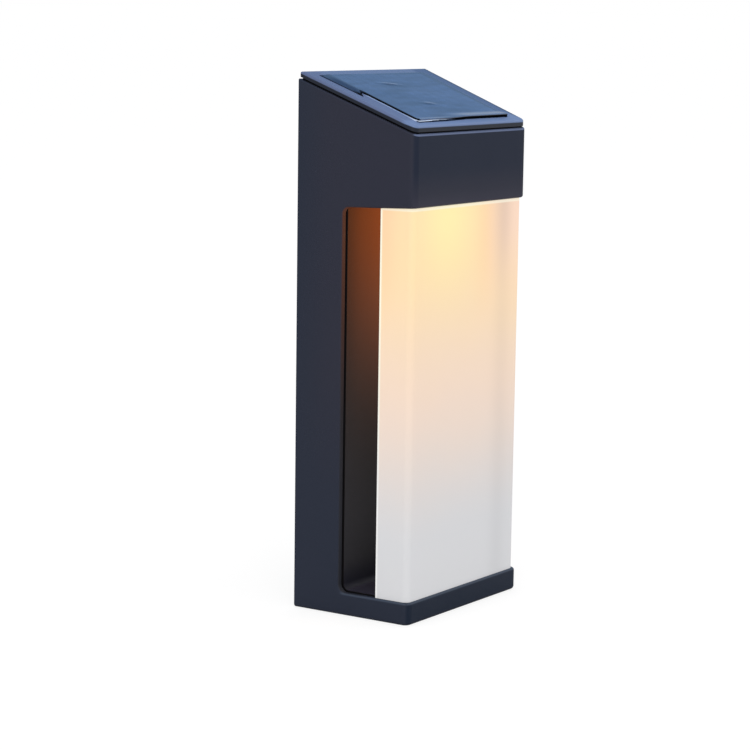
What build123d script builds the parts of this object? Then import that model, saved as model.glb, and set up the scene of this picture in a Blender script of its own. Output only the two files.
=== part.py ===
from build123d import *
import math
import os

# Solar wall light. Millimetres, +Z up, front facing -Y, wall plane at Y = 0.
# The origin is the centre of the two keyholes on the wall plane.

# Whole body
HEIGHT = 200.4  # to the slope's sharp rear edge, whose rounding takes it to 200
BACK_WIDTH = 80.0
FRONT_WIDTH = 74.2
DEPTH = 50.0
TOP_DROP = 18.6

# Housing shell: head, spine cheeks and base
WALL = 2.2
CORNER_ROUND = 3.0
INNER_ROUND = 0.8
HEAD_HEIGHT = 47.6  # at the front
HEAD_EDGE_FALL = 1.2  # how much lower the head's edge lies at the spine
BASE_HEIGHT = 8.5
SPINE_DEPTH = 19.6
WINDOW_LOW_ROUND = 3.2
WINDOW_HIGH_ROUND = 2.5
LIP_ROUND = 1.0
RIM_ROUND = 0.5
FOOT_ROUND = 1.4
REAR_BAR_DEPTH = 5.0
REAR_BAR_HEIGHT = 9.0

# Fits
FIT = 0.15
SCREW_FIT = 0.05
HOLE_FIT = 0.2

# Screws, all self-tapping with a cross recess
SCREW_DIAMETER = 2.4
SCREW_HEAD = 4.2
SCREW_HEAD_HEIGHT = 1.6
CROSS_WIDTH = 0.6
CROSS_LENGTH = 2.6
CROSS_DEPTH = 0.9
SCREW_TIP_GAP = 0.8

# Rear cover and its seal
REAR_COVER = 2.8
REAR_SEAL = 0.9
REAR_SEAL_WIDTH = 0.9
REBATE_INSET = 1.1
REAR_SCREW_LENGTH = 9.0
SCREW_HEAD_RECESS = 0.2
REAR_SCREW_SEAT_FIT = 0.4
TONGUE_THICK = 1.6
TONGUE_WIDTH = 12.0
TONGUE_BOSS_GAP = 2.0
TONGUE_TOP_GAP = 0.5
TONGUE_ROOT = 3.0

# Keyholes in the rear cover
KEYHOLE_SPACING = 80.0
KEYHOLE_ENTRY = 9.0
KEYHOLE_SLOT = 4.5
KEYHOLE_RUN = 8.0
POCKET_DEPTH = 5.5
POCKET_WALL = 1.4
POCKET_ROOM = 1.0
POCKET_SHELF_GAP = 0.5

# Inner liner
LINER = 2.0
LINER_GAP = 0.7
LINER_PROUD = 0.4
LINER_FLOOR_RISE = 0.5
LINER_CEILING_RISE = 0.4
LINER_SHELF_BACK = 7.2
LINER_LOW_ROUND = 2.4
LINER_HIGH_ROUND = 2.0
POST_DIAMETER = 6.5
POST_EDGE = 2.2
LOW_POST_RISE = 14.0
HIGH_POST_DROP = 27.0
FOOT_RIB = 2.0
FOOT_RIB_SPREAD = 40.0
EAR_WIDTH = 8.0
EAR_THICK = 2.0
EAR_HEIGHT = 10.0
EAR_SCREW_RISE = 6.0
EAR_SIDE_GAP = 1.2
EAR_BEHIND_LED_BOARD = 1.0
LINER_SCREW_LENGTH = 8.0

# Diffuser
DIFFUSER = 2.4
DIFFUSER_SIDE_INSET = 1.2
DIFFUSER_FRONT_INSET = 1.0
DIFFUSER_RETURN = 14.1
DIFFUSER_ROUND = 2.6
DIFFUSER_TONGUE = 2.2
DIFFUSER_EDGE_ROUND = 0.6
DIFFUSER_TOP_GAP = 0.15

# Top cover and its seal
COVER_EDGE = 2.2
REVEAL = 0.8
COVER_INSET = 0.5
COVER_ROUND = 0.6
COVER_CORNER = 2.6
COVER_SEAL_INSET = 1.1
PLUG_DEPTH = 3.6
PLUG_WALL = 1.5
PAN_DEPTH = 1.0
PLUG_FIT = 0.25
COVER_BOSS_WIDTH = 8.0
COVER_BOSS_DEPTH = 8.0
COVER_BOSS_HEIGHT = 7.0
COVER_SCREW_SPREAD = 50.0
COVER_SCREW_ROOF = 1.0
COVER_SCREW_LENGTH = 9.0
LEAD_SLOT_WIDTH = 9.0
LEAD_SLOT_LENGTH = 3.4

# Solar panel, laid in a recess in the top cover
PANEL_LEFT_BORDER = 5.0
PANEL_RIGHT_BORDER = 7.0
PANEL_BACK_BORDER = 5.0
PANEL_FRONT_BORDER = 4.2
PANEL_STEP = 3.4
PANEL_STEP_SLANT = 3.6  # how far back the step's inner end lies
PANEL_STEP_FROM_BACK = 26.0  # to the step's outer end
PANEL_GAP = 0.3
TAPE = 0.4
TAPE_WIDTH = 8.0
PANEL_BOARD = 1.0
PANEL_BOARD_MARGIN = 0.6
CELL = 0.2
CELL_COUNT = 10
CELL_GAP = 0.5
CELL_MARGIN = 1.2
CLEAR_SHEET = 0.6
SHEET_PROUD = 0.4

# LED unit in the head's ceiling
LED_BEHIND_FRONT = 8.5
LENS_WIDTH = 30.0
LENS_DEPTH = 6.6
LENS_FLANGE = 1.2
LENS_FLANGE_THICK = 1.4
LENS_SEAL = 0.6
LED_BOARD_WIDTH = 46.0
LED_BOARD_DEPTH = 9.0
LED_BOARD = 1.2
LED_COUNT = 6
LED_PITCH = 4.6
LED_LENGTH = 2.8
LED_WIDTH = 3.5
LED_HEIGHT = 0.8
LED_LENS_GAP = 0.2
LED_BOSS = 5.0
LED_SCREW_EDGE = 3.0
LED_SCREW_LENGTH = 4.6

# Battery cell, lying across the head
CELL_DIAMETER = 14.2
CELL_LENGTH = 50.0
CELL_POLE = 5.5
CELL_POLE_HEIGHT = 1.0
CELL_LIFT = 1.2
SADDLE_THICK = 3.0
SADDLE_SPREAD = 34.0
SADDLE_HEIGHT = 5.0
TAB_THICK = 0.3
TAB_WIDTH = 6.0
TAB_HEIGHT = 11.0
STRAP = 1.2
STRAP_WIDTH = 9.0
STRAP_HEAD_GAP = 0.2
STRAP_FRONT_GAP = 0.5
STRAP_BOSS = 5.0
STRAP_BOSS_HEIGHT = 4.6
STRAP_SCREW_LENGTH = 5.6

# Control board on the rear cover
BOARD_WIDTH = 50.0
BOARD_HEIGHT = 48.0
BOARD = 1.6
BOARD_STANDOFF = 9.0
STANDOFF_DIAMETER = 5.0
BOARD_HOLE_EDGE = 3.4
BOARD_SCREW_LENGTH = 6.0
CHIP = (5.0, 1.6, 6.0)
CHIP_PLACE = (-9.0, 4.0)
INDUCTOR = (6.0, 3.0, 6.0)
INDUCTOR_PLACE = (9.0, 6.0)
CAPACITOR_DIAMETER = 5.0
CAPACITOR_HEIGHT = 5.4
CAPACITOR_PLACE = (-12.0, -12.0)
RESISTOR = (2.0, 0.6, 1.25)
RESISTOR_COUNT = 6
RESISTOR_PITCH = 3.2
RESISTOR_HEIGHT_PLACE = -8.0
CONNECTOR = (5.2, 5.0, 4.6)
CONNECTOR_HEIGHT_PLACE = 15.0
SOLAR_CONNECTOR_X = -12.0
BATTERY_CONNECTOR_X = 9.5
LED_CONNECTOR_X = 15.5

# Push switch and its button through the rear cover
BUTTON_DIAMETER = 7.6
BUTTON_BORE_FIT = 0.2
BUTTON_RECESS = 0.6
BUTTON_FLANGE = 10.0
BUTTON_FLANGE_THICK = 1.0
BUTTON_DISH = 0.4
BUTTON_EDGE_ROUND = 0.5
BUTTON_TRAVEL = 1.5
WASHER = 0.6
SWITCH_SIZE = 7.0
SWITCH_HEIGHT = 5.0
SWITCH_BELOW_CENTRE = 4.0
PLUNGER_DIAMETER = 3.2
PLUNGER_FIT = 0.08
PLUNGER_HELD = 1.6
PLUNGER_FLOOR_GAP = 0.4

# Insulated leads
LEAD_DIAMETER = 1.2
LEAD_BEND = 3.0
LEAD_PITCH = 1.6
LEAD_PAD_PITCH = 2.8
LEAD_STRAIGHT = 7.0
LEAD_SPINE_STEP = 8.0
SOLAR_LEAD_FALL = 8.0
SOLAR_LEAD_ASIDE = 4.0
SOLAR_LEAD_BACK = 11.0
BATTERY_LEAD_OUT = 4.0
BATTERY_LEAD_BEHIND = 2.0
BATTERY_LEAD_STAGGER = 4.0
BATTERY_LEAD_FALL = 6.0
LED_LEAD_RISE = 8.0
LED_LEAD_OVER = 5.0
LED_LEAD_BEHIND = 4.0
LED_LEAD_FALL = 7.0
LED_LEAD_DIP = 2.0

# Levels that follow from the sizes above
POCKET_REACH = KEYHOLE_ENTRY / 2 + POCKET_ROOM
KEYHOLE_BELOW_HEAD = KEYHOLE_RUN + POCKET_REACH + POCKET_WALL + POCKET_SHELF_GAP
BOTTOM = HEAD_HEIGHT + KEYHOLE_BELOW_HEAD + KEYHOLE_SPACING / 2 - HEIGHT
TOP = BOTTOM + HEIGHT
BASE_TOP = BOTTOM + BASE_HEIGHT
HEAD_UNDER = TOP - HEAD_HEIGHT
SIDE_SLOPE = (BACK_WIDTH - FRONT_WIDTH) / (2 * DEPTH)
SLOPE_ANGLE = math.atan2(TOP_DROP, DEPTH)
SLOPE_LENGTH = math.hypot(TOP_DROP, DEPTH)
RIM_DROP = COVER_EDGE + REVEAL
SCREW_SINK = SCREW_HEAD_HEIGHT + SCREW_HEAD_RECESS
REAR_OPENING_TOP = TOP - RIM_DROP - REAR_BAR_HEIGHT
REBATE_DEPTH = REAR_COVER + REAR_SEAL

LINER_FRONT = -SPINE_DEPTH - LINER_PROUD
LINER_BACK = LINER_FRONT + LINER
LINER_INSET = WALL + LINER_GAP
FLOOR_TOP = BASE_TOP + LINER_FLOOR_RISE
FLOOR_UNDER = FLOOR_TOP - LINER
CEILING_UNDER = HEAD_UNDER + LINER_CEILING_RISE
CEILING_TOP = CEILING_UNDER + LINER

DIFFUSER_FRONT = -DEPTH + DIFFUSER_FRONT_INSET
DIFFUSER_BACK = DIFFUSER_FRONT + DIFFUSER_RETURN
DIFFUSER_INNER_INSET = DIFFUSER_SIDE_INSET + DIFFUSER
DIFFUSER_INNER_FRONT = DIFFUSER_FRONT + DIFFUSER

LED_Y = -DEPTH + LED_BEHIND_FRONT
LENS_FLANGE_UNDER = CEILING_TOP + LENS_SEAL
LENS_TOP = LENS_FLANGE_UNDER + LENS_FLANGE_THICK
LED_BOARD_UNDER = LENS_TOP + LED_LENS_GAP + LED_HEIGHT
LED_BOARD_TOP = LED_BOARD_UNDER + LED_BOARD
LED_SCREW_X = LED_BOARD_WIDTH / 2 - LED_SCREW_EDGE
LED_BOARD_REAR = LED_Y + LED_BOARD_DEPTH / 2

CELL_RADIUS = CELL_DIAMETER / 2
STRAP_RADIUS = CELL_RADIUS + FIT
STRAP_SCREW_Y = STRAP_RADIUS + STRAP + STRAP_HEAD_GAP + SCREW_HEAD / 2
STRAP_REACH = STRAP_SCREW_Y + SCREW_HEAD / 2 + STRAP_HEAD_GAP
CELL_Y = LED_BOARD_REAR + STRAP_FRONT_GAP + STRAP_REACH
CELL_Z = CEILING_TOP + CELL_LIFT + CELL_RADIUS
STRAP_FOOT_UNDER = CEILING_TOP + STRAP_BOSS_HEIGHT

EAR_FRONT = LED_BOARD_REAR + EAR_BEHIND_LED_BOARD
EAR_BACK = EAR_FRONT + EAR_THICK
EAR_SCREW_Z = CEILING_TOP + EAR_SCREW_RISE

BOARD_REAR = -REAR_COVER - BOARD_STANDOFF
BOARD_FRONT = BOARD_REAR - BOARD
BUTTON_Z = -SWITCH_BELOW_CENTRE
FLANGE_REAR = -REAR_COVER - WASHER
FLANGE_FRONT = FLANGE_REAR - BUTTON_FLANGE_THICK
SWITCH_TOP = BOARD_REAR + SWITCH_HEIGHT

CELL_TOP_LEVEL = SHEET_PROUD - CLEAR_SHEET
BOARD_TOP_LEVEL = CELL_TOP_LEVEL - CELL
TAPE_TOP_LEVEL = BOARD_TOP_LEVEL - PANEL_BOARD
RECESS_LEVEL = TAPE_TOP_LEVEL - TAPE

# The top cover's screws run below the panel's recess
PLUG_BACK = -REAR_BAR_DEPTH - PLUG_FIT
COVER_SCREW_BITE = COVER_SCREW_LENGTH - REAR_BAR_DEPTH + SCREW_SINK
COVER_PILOT_END = PLUG_BACK - COVER_SCREW_BITE - SCREW_TIP_GAP
RECESS_FLOOR_Z = TOP + COVER_PILOT_END * TOP_DROP / DEPTH + RECESS_LEVEL / math.cos(SLOPE_ANGLE)
COVER_SCREW_Z = RECESS_FLOOR_Z - COVER_SCREW_ROOF - SCREW_DIAMETER / 2 - SCREW_FIT

SLOPE_PLANE = Plane(
    origin=(0, 0, TOP),
    x_dir=(1, 0, 0),
    z_dir=(0, -math.sin(SLOPE_ANGLE), math.cos(SLOPE_ANGLE)),
)

INTO_WALL = (0, 1, 0)
FROM_WALL = (0, -1, 0)
DOWN = (0, 0, -1)
UP = (0, 0, 1)


def half_width(y):
    """Half the body's width at depth y: the plan narrows towards the front."""
    return BACK_WIDTH / 2 + y * SIDE_SLOPE


def slope_z(y):
    """Height of the top cover's upper face at depth y."""
    return TOP + y * TOP_DROP / DEPTH


def head_edge_z(y):
    """Height of the head's lower edge at depth y: it falls from the front to the spine."""
    return HEAD_UNDER - HEAD_EDGE_FALL * (y + DEPTH) / (DEPTH - SPINE_DEPTH)


def block(x_range, y_range, z_range):
    """Box between three pairs of coordinates."""
    spans = (x_range, y_range, z_range)
    sizes = [abs(high - low) for low, high in spans]
    centre = [(low + high) / 2 for low, high in spans]
    return Pos(*centre) * Box(*sizes)


def middle_block(width, y_range, z_range, x=0.0):
    """Box of a given width about the plane X = x."""
    return block((x - width / 2, x + width / 2), y_range, z_range)


def rod(start, direction, diameter, length):
    """Round bar from a point along a direction."""
    bar = Cylinder(diameter / 2, length, align=(Align.CENTER, Align.CENTER, Align.MIN))
    return Plane(origin=start, z_dir=direction) * bar


def shifted(point, direction, distance):
    """Point moved along a unit direction."""
    return tuple(place + step * distance for place, step in zip(point, direction))


def plan_block(inset, back, front, low, high, corner=0.0):
    """Upright block whose plan is the body's tapering outline, drawn in at the sides by inset."""
    back_x = half_width(back) - inset
    front_x = half_width(front) - inset
    outline = Polyline((-back_x, back), (-front_x, front), (front_x, front), (back_x, back), close=True)
    face = make_face(outline)
    if corner > 0:
        face = fillet(face.vertices().sort_by(Axis.Y)[:2], corner)
    return extrude(Pos(0, 0, low) * face, high - low, dir=UP)


def side_profile(face, half_span):
    """Solid from a face drawn in (y, z), carried to both sides of the middle plane."""
    return extrude(Plane.YZ * face, half_span, both=True)


def above_slope(drop):
    """Everything above the top's slope, with the slope lowered by drop."""
    far = DEPTH + BACK_WIDTH
    outline = Polyline(
        (far, slope_z(far) - drop),
        (-far, slope_z(-far) - drop),
        (-far, TOP + far),
        (far, TOP + far),
        close=True,
    )
    return side_profile(make_face(outline), BACK_WIDTH)


def above_head_edge(drop):
    """Everything above the head's lower edge, lowered by drop."""
    far = -DEPTH - WALL
    outline = Polyline(
        (0, head_edge_z(0) - drop),
        (far, head_edge_z(far) - drop),
        (far, TOP),
        (0, TOP),
        close=True,
    )
    return side_profile(make_face(outline), BACK_WIDTH)


def sloped_layer(body, upper_drop, lower_drop):
    """The part of a body between two levels below the top's slope."""
    return (body & above_slope(lower_drop)) - above_slope(upper_drop)


def screw(seat, direction, length):
    """Pan-head screw: the head's underside is on the seat and the shank runs along the direction."""
    back = tuple(-step for step in direction)
    shank = rod(seat, direction, SCREW_DIAMETER, length)
    head = rod(seat, back, SCREW_HEAD, SCREW_HEAD_HEIGHT)
    top_edge = head.edges().filter_by(GeomType.CIRCLE).sort_by_distance(shifted(seat, back, length))[0]
    head = fillet(top_edge, SCREW_HEAD_HEIGHT / 3)
    floor = Plane(origin=shifted(seat, back, SCREW_HEAD_HEIGHT - CROSS_DEPTH), z_dir=back)
    upright = (Align.CENTER, Align.CENTER, Align.MIN)
    cross = floor * Box(CROSS_WIDTH, CROSS_LENGTH, SCREW_HEAD_HEIGHT, align=upright)
    cross += floor * Box(CROSS_LENGTH, CROSS_WIDTH, SCREW_HEAD_HEIGHT, align=upright)
    return shank + head - cross


def pilot(seat, direction, length):
    """Hole for a screw of that length, a little deeper than its tip."""
    return rod(seat, direction, SCREW_DIAMETER + 2 * SCREW_FIT, length + SCREW_TIP_GAP)


def pair(spread):
    """The two places at half a spread either side of the middle."""
    return (-spread / 2, spread / 2)


def post_places():
    """Where the rear cover's four screws enter the liner's posts, as (x, z)."""
    x = half_width(LINER_BACK) - LINER_INSET - POST_EDGE - POST_DIAMETER / 2
    heights = (BASE_TOP + LOW_POST_RISE, HEAD_UNDER - HIGH_POST_DROP)
    return [(side * x, z) for side in (-1, 1) for z in heights]


def ear_places():
    """Where the liner's two ears are screwed to the head's front wall."""
    x = half_width(EAR_FRONT) - WALL - EAR_SIDE_GAP - EAR_WIDTH / 2
    return (-x, x)


def board_hole_places():
    """The control board's four fixing holes, as (x, z)."""
    x = BOARD_WIDTH / 2 - BOARD_HOLE_EDGE
    z = BOARD_HEIGHT / 2 - BOARD_HOLE_EDGE
    return [(side * x, level * z) for side in (-1, 1) for level in (-1, 1)]


def window_cutter():
    """The opening between head and base: front and both sides, back to the spine."""
    front = -DEPTH - WALL
    spine_high = (-SPINE_DEPTH, head_edge_z(-SPINE_DEPTH))
    outline = Polyline(
        (front, BASE_TOP),
        (-SPINE_DEPTH, BASE_TOP),
        spine_high,
        (front, head_edge_z(front)),
        close=True,
    )
    face = make_face(outline)
    low = face.vertices().sort_by_distance((-SPINE_DEPTH, BASE_TOP))[0]
    face = fillet(low, WINDOW_LOW_ROUND)
    high = face.vertices().sort_by_distance(spine_high)[0]
    face = fillet(high, WINDOW_HIGH_ROUND)
    return side_profile(face, BACK_WIDTH)


def on_window_lip(edge):
    """True for the outer edges that the window leaves on the body before it is hollowed."""
    centre = edge.center()
    inside = BASE_TOP - FIT < centre.Z < HEAD_UNDER + FIT and centre.Y < -SPINE_DEPTH + FIT
    crosses = abs(centre.X) < WALL and centre.Y > -DEPTH + FIT
    return inside and not crosses


def housing():
    """C-shaped shell, open at the back, at the top and along the window."""
    body = plan_block(0, 0, -DEPTH, BOTTOM, TOP, CORNER_ROUND) - above_slope(RIM_DROP)
    rim = [e for e in body.edges() if abs(e.center().Z - slope_z(e.center().Y) + RIM_DROP) < FIT]
    rim = [e for e in rim if e.center().Y < -FIT]
    body = fillet(rim, RIM_ROUND)
    foot = [e for e in body.edges() if e.center().Z < BOTTOM + FIT and e.center().Y < -FIT]
    body = fillet(foot, FOOT_ROUND)
    body -= window_cutter()
    body = fillet([e for e in body.edges() if on_window_lip(e)], LIP_ROUND)

    floor = BOTTOM + WALL
    front = -DEPTH + WALL
    body -= plan_block(WALL, -REAR_BAR_DEPTH, front, floor, TOP, INNER_ROUND)
    body -= plan_block(WALL, WALL, -REAR_BAR_DEPTH, floor, REAR_OPENING_TOP)
    rebate_top = REAR_OPENING_TOP + WALL - REBATE_INSET
    body -= plan_block(REBATE_INSET, WALL, -REBATE_DEPTH, BOTTOM + REBATE_INSET, rebate_top)

    for x in ear_places():
        start = (x, -DEPTH + WALL / 2, EAR_SCREW_Z)
        body += rod(start, INTO_WALL, POST_DIAMETER, EAR_FRONT - start[1])
        body -= pilot((x, EAR_FRONT, EAR_SCREW_Z), FROM_WALL, LINER_SCREW_LENGTH - EAR_THICK)
    for x in pair(COVER_SCREW_SPREAD):
        back = (x, 0, COVER_SCREW_Z)
        body -= rod(back, FROM_WALL, SCREW_HEAD + 2 * HOLE_FIT, SCREW_SINK)
        body -= rod(back, FROM_WALL, SCREW_DIAMETER + 2 * HOLE_FIT, REAR_BAR_DEPTH)
    return body


def liner_section():
    """The liner's outline in (y, z): base floor, spine front, head ceiling and the shelf behind it."""
    front = DIFFUSER_INNER_FRONT + FIT
    outline = Polyline(
        (front, FLOOR_UNDER),
        (front, FLOOR_TOP),
        (LINER_FRONT, FLOOR_TOP),
        (LINER_FRONT, CEILING_UNDER),
        (front, CEILING_UNDER),
        (front, CEILING_TOP),
        (-LINER_SHELF_BACK, CEILING_TOP),
        (-LINER_SHELF_BACK, CEILING_UNDER),
        (LINER_BACK, CEILING_UNDER),
        (LINER_BACK, FLOOR_UNDER),
        close=True,
    )
    face = make_face(outline)
    rounds = (
        ((LINER_FRONT, FLOOR_TOP), LINER_LOW_ROUND),
        ((LINER_FRONT, CEILING_UNDER), LINER_HIGH_ROUND),
        ((LINER_BACK, FLOOR_UNDER), LINER_LOW_ROUND),
    )
    for place, radius in rounds:
        face = fillet(face.vertices().sort_by_distance(place)[0], radius)
    return face


def inner_liner():
    """Moulding that closes the window's inside and carries the LED unit and the battery."""
    step = DIFFUSER_BACK + FIT
    front = DIFFUSER_INNER_FRONT + FIT
    wide = plan_block(LINER_INSET, 0, step, BOTTOM, TOP)
    narrow = plan_block(DIFFUSER_INNER_INSET + FIT, step, front, BOTTOM, TOP, INNER_ROUND)
    body = side_profile(liner_section(), BACK_WIDTH) & (wide + narrow)

    for x, z in post_places():
        root = (x, LINER_BACK - LINER / 2, z)
        body += rod(root, INTO_WALL, POST_DIAMETER, -REAR_COVER - root[1])
        body -= pilot((x, -REAR_COVER, z), FROM_WALL, REAR_SCREW_LENGTH)
    for x in pair(FOOT_RIB_SPREAD):
        rib_y = (front + LINER, LINER_BACK - LINER_LOW_ROUND)
        body += middle_block(FOOT_RIB, rib_y, (BOTTOM + WALL, FLOOR_UNDER), x)
    for x in ear_places():
        body += middle_block(EAR_WIDTH, (EAR_FRONT, EAR_BACK), (CEILING_TOP, CEILING_TOP + EAR_HEIGHT), x)
        body -= rod((x, EAR_BACK, EAR_SCREW_Z), FROM_WALL, SCREW_DIAMETER + 2 * HOLE_FIT, EAR_THICK)

    lens_y = (LED_Y - LENS_DEPTH / 2 - FIT, LED_Y + LENS_DEPTH / 2 + FIT)
    body -= middle_block(LENS_WIDTH + 2 * FIT, lens_y, (CEILING_UNDER, CEILING_TOP))
    for x in (-LED_SCREW_X, LED_SCREW_X):
        body += rod((x, LED_Y, CEILING_TOP), UP, LED_BOSS, LED_BOARD_UNDER - CEILING_TOP)
        body -= pilot((x, LED_Y, LED_BOARD_UNDER), DOWN, LED_SCREW_LENGTH - LED_BOARD)

    cell_room = rod((-BACK_WIDTH, CELL_Y, CELL_Z), (1, 0, 0), 2 * STRAP_RADIUS, 2 * BACK_WIDTH)
    saddle_y = (CELL_Y - CELL_RADIUS, CELL_Y + CELL_RADIUS)
    saddle_z = (CEILING_TOP, CEILING_TOP + SADDLE_HEIGHT)
    for x in pair(SADDLE_SPREAD):
        body += middle_block(SADDLE_THICK, saddle_y, saddle_z, x) - cell_room
    for y in (CELL_Y - STRAP_SCREW_Y, CELL_Y + STRAP_SCREW_Y):
        body += rod((0, y, CEILING_TOP), UP, STRAP_BOSS, STRAP_BOSS_HEIGHT)
        body -= pilot((0, y, STRAP_FOOT_UNDER), DOWN, STRAP_SCREW_LENGTH - STRAP)
    return body


def liner_screws():
    return [screw((x, EAR_BACK, EAR_SCREW_Z), FROM_WALL, LINER_SCREW_LENGTH) for x in ear_places()]


def diffuser():
    """U-shaped frosted sheet with a thinner tongue behind the head's and the base's rim."""
    inset = DIFFUSER_SIDE_INSET
    inner_low = BASE_TOP - DIFFUSER_TONGUE
    inner_high = HEAD_UNDER + DIFFUSER_TONGUE
    sheet = plan_block(inset, DIFFUSER_BACK, DIFFUSER_FRONT, BASE_TOP, HEAD_UNDER, DIFFUSER_ROUND)
    back_edges = sheet.edges().filter_by(Axis.Z).sort_by(Axis.Y)[-2:]
    sheet = fillet(back_edges, DIFFUSER_EDGE_ROUND) - above_head_edge(DIFFUSER_TOP_GAP)
    tongue_front = -DEPTH + WALL + FIT
    tongue = plan_block(WALL + FIT, DIFFUSER_BACK, tongue_front, inner_low, inner_high, INNER_ROUND)
    room = plan_block(DIFFUSER_INNER_INSET, 0, DIFFUSER_INNER_FRONT, inner_low, inner_high, INNER_ROUND)
    return sheet + tongue - room


def keyhole(z):
    """Keyhole cut through the rear cover: round entry with a narrower slot above."""
    entry = rod((0, 0, z), FROM_WALL, KEYHOLE_ENTRY, REAR_COVER)
    end = rod((0, 0, z + KEYHOLE_RUN), FROM_WALL, KEYHOLE_SLOT, REAR_COVER)
    slot = middle_block(KEYHOLE_SLOT, (-REAR_COVER, 0), (z, z + KEYHOLE_RUN))
    return entry + end + slot


def pocket(z, depth, extra):
    """Room for a screw head behind a keyhole, grown by extra."""
    reach = POCKET_REACH + extra
    return middle_block(2 * reach, (-depth, -REAR_COVER), (z - reach, z + KEYHOLE_RUN + reach))


def rear_cover():
    """Plate in the housing's back with two blind keyholes, the button's bore and the board's standoffs."""
    inset = REBATE_INSET + FIT
    top = REAR_OPENING_TOP + WALL - inset
    body = plan_block(inset, 0, -REAR_COVER, BOTTOM + inset, top)

    for z in pair(KEYHOLE_SPACING):
        body += pocket(z, REAR_COVER + POCKET_DEPTH + POCKET_WALL, POCKET_WALL)
        body -= pocket(z, REAR_COVER + POCKET_DEPTH, 0)
        body -= keyhole(z)
    for x, z in post_places():
        body -= rod((x, 0, z), FROM_WALL, SCREW_HEAD + 2 * REAR_SCREW_SEAT_FIT, SCREW_SINK)
        body -= rod((x, 0, z), FROM_WALL, SCREW_DIAMETER + 2 * HOLE_FIT, REAR_COVER)
    for x, z in board_hole_places():
        body += rod((x, -REAR_COVER / 2, z), FROM_WALL, STANDOFF_DIAMETER, BOARD_STANDOFF + REAR_COVER / 2)
        body -= pilot((x, BOARD_REAR, z), INTO_WALL, BOARD_SCREW_LENGTH - BOARD)

    hook_y = (-REAR_BAR_DEPTH - FIT - TONGUE_THICK, -REAR_BAR_DEPTH - FIT)
    hook_low = REAR_OPENING_TOP - FIT - TONGUE_ROOT
    hook_top = slope_z(hook_y[0]) - RIM_DROP - PLUG_DEPTH - TONGUE_TOP_GAP
    for x in pair(COVER_SCREW_SPREAD - COVER_BOSS_WIDTH - TONGUE_WIDTH - 2 * TONGUE_BOSS_GAP):
        body += middle_block(TONGUE_WIDTH, hook_y, (hook_low, hook_top), x)
        body += middle_block(TONGUE_WIDTH, (hook_y[1], -REAR_COVER), (hook_low, REAR_OPENING_TOP - FIT), x)
    body -= rod((0, 0, BUTTON_Z), FROM_WALL, BUTTON_DIAMETER + 2 * BUTTON_BORE_FIT, REAR_COVER)
    return body


def rear_cover_seal():
    """Thin loop squeezed between the rear cover and the housing's rebate."""
    outer = REBATE_INSET + FIT
    inner = outer + REAR_SEAL_WIDTH
    outer_top = REAR_OPENING_TOP + WALL - outer
    loop = plan_block(outer, -REAR_COVER, -REBATE_DEPTH, BOTTOM + outer, outer_top)
    return loop - plan_block(inner, 0, -DEPTH, BOTTOM + inner, outer_top - REAR_SEAL_WIDTH)


def rear_cover_screws():
    return [screw((x, -SCREW_SINK, z), FROM_WALL, REAR_SCREW_LENGTH) for x, z in post_places()]


def slope_y(distance):
    """Depth of a point at a distance down the slope from its rear edge."""
    return -distance * math.cos(SLOPE_ANGLE)


def panel_left(distance, gap):
    """The panel's left edge at a distance down the slope, with a gap taken off."""
    return PANEL_LEFT_BORDER + gap + COVER_INSET - half_width(slope_y(distance))


def panel_right(distance, gap):
    """The panel's right edge at a distance down the slope, with a gap taken off."""
    return half_width(slope_y(distance)) - COVER_INSET - PANEL_RIGHT_BORDER - gap


def panel_stepped_left(gap):
    """Where the panel's left edge runs, straight down the slope, once it has stepped inwards."""
    return panel_left(PANEL_STEP_FROM_BACK, gap) + PANEL_STEP


def panel_layer(points, low, high):
    """Sheet on the slope between two levels along its normal; points are (x, distance down the slope)."""
    outline = Polyline(*[(x, -distance) for x, distance in points], close=True)
    normal = SLOPE_PLANE.z_dir
    return extrude(SLOPE_PLANE.offset(low) * make_face(outline), high - low, dir=normal)


def panel_outline(gap):
    """The clear sheet's outline: its left edge steps inwards, on a slant, part of the way down the slope."""
    back = PANEL_BACK_BORDER + gap
    front = SLOPE_LENGTH - PANEL_FRONT_BORDER - gap
    slant = PANEL_STEP_SLANT / PANEL_STEP
    step = PANEL_STEP_FROM_BACK - gap * (slant + math.hypot(1, slant))
    return [
        (panel_left(back, gap), back),
        (panel_left(step, gap), step),
        (panel_stepped_left(gap), step - PANEL_STEP_SLANT),
        (panel_stepped_left(gap), front),
        (panel_right(front, gap), front),
        (panel_right(back, gap), back),
    ]


def board_span():
    """The solar board's rectangle, inside the clear sheet, as x range and slope range."""
    inset = PANEL_GAP + PANEL_BOARD_MARGIN
    back = PANEL_BACK_BORDER + inset
    front = SLOPE_LENGTH - PANEL_FRONT_BORDER - inset
    return (panel_stepped_left(inset), panel_right(front, inset)), (back, front)


def rectangle(x_range, slope_range):
    """Corners of an upright rectangle on the slope."""
    (left, right), (back, front) = x_range, slope_range
    return [(left, back), (left, front), (right, front), (right, back)]


def lead_slot():
    """Slot under the solar board for its two leads, straight down through the cover."""
    (left, right), (back, front) = board_span()
    x = (left + right) / 2
    y = slope_y((back + front) / 2)
    half = LEAD_SLOT_LENGTH / 2
    return middle_block(LEAD_SLOT_WIDTH, (y - half, y + half), (HEAD_UNDER, TOP), x)


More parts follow.
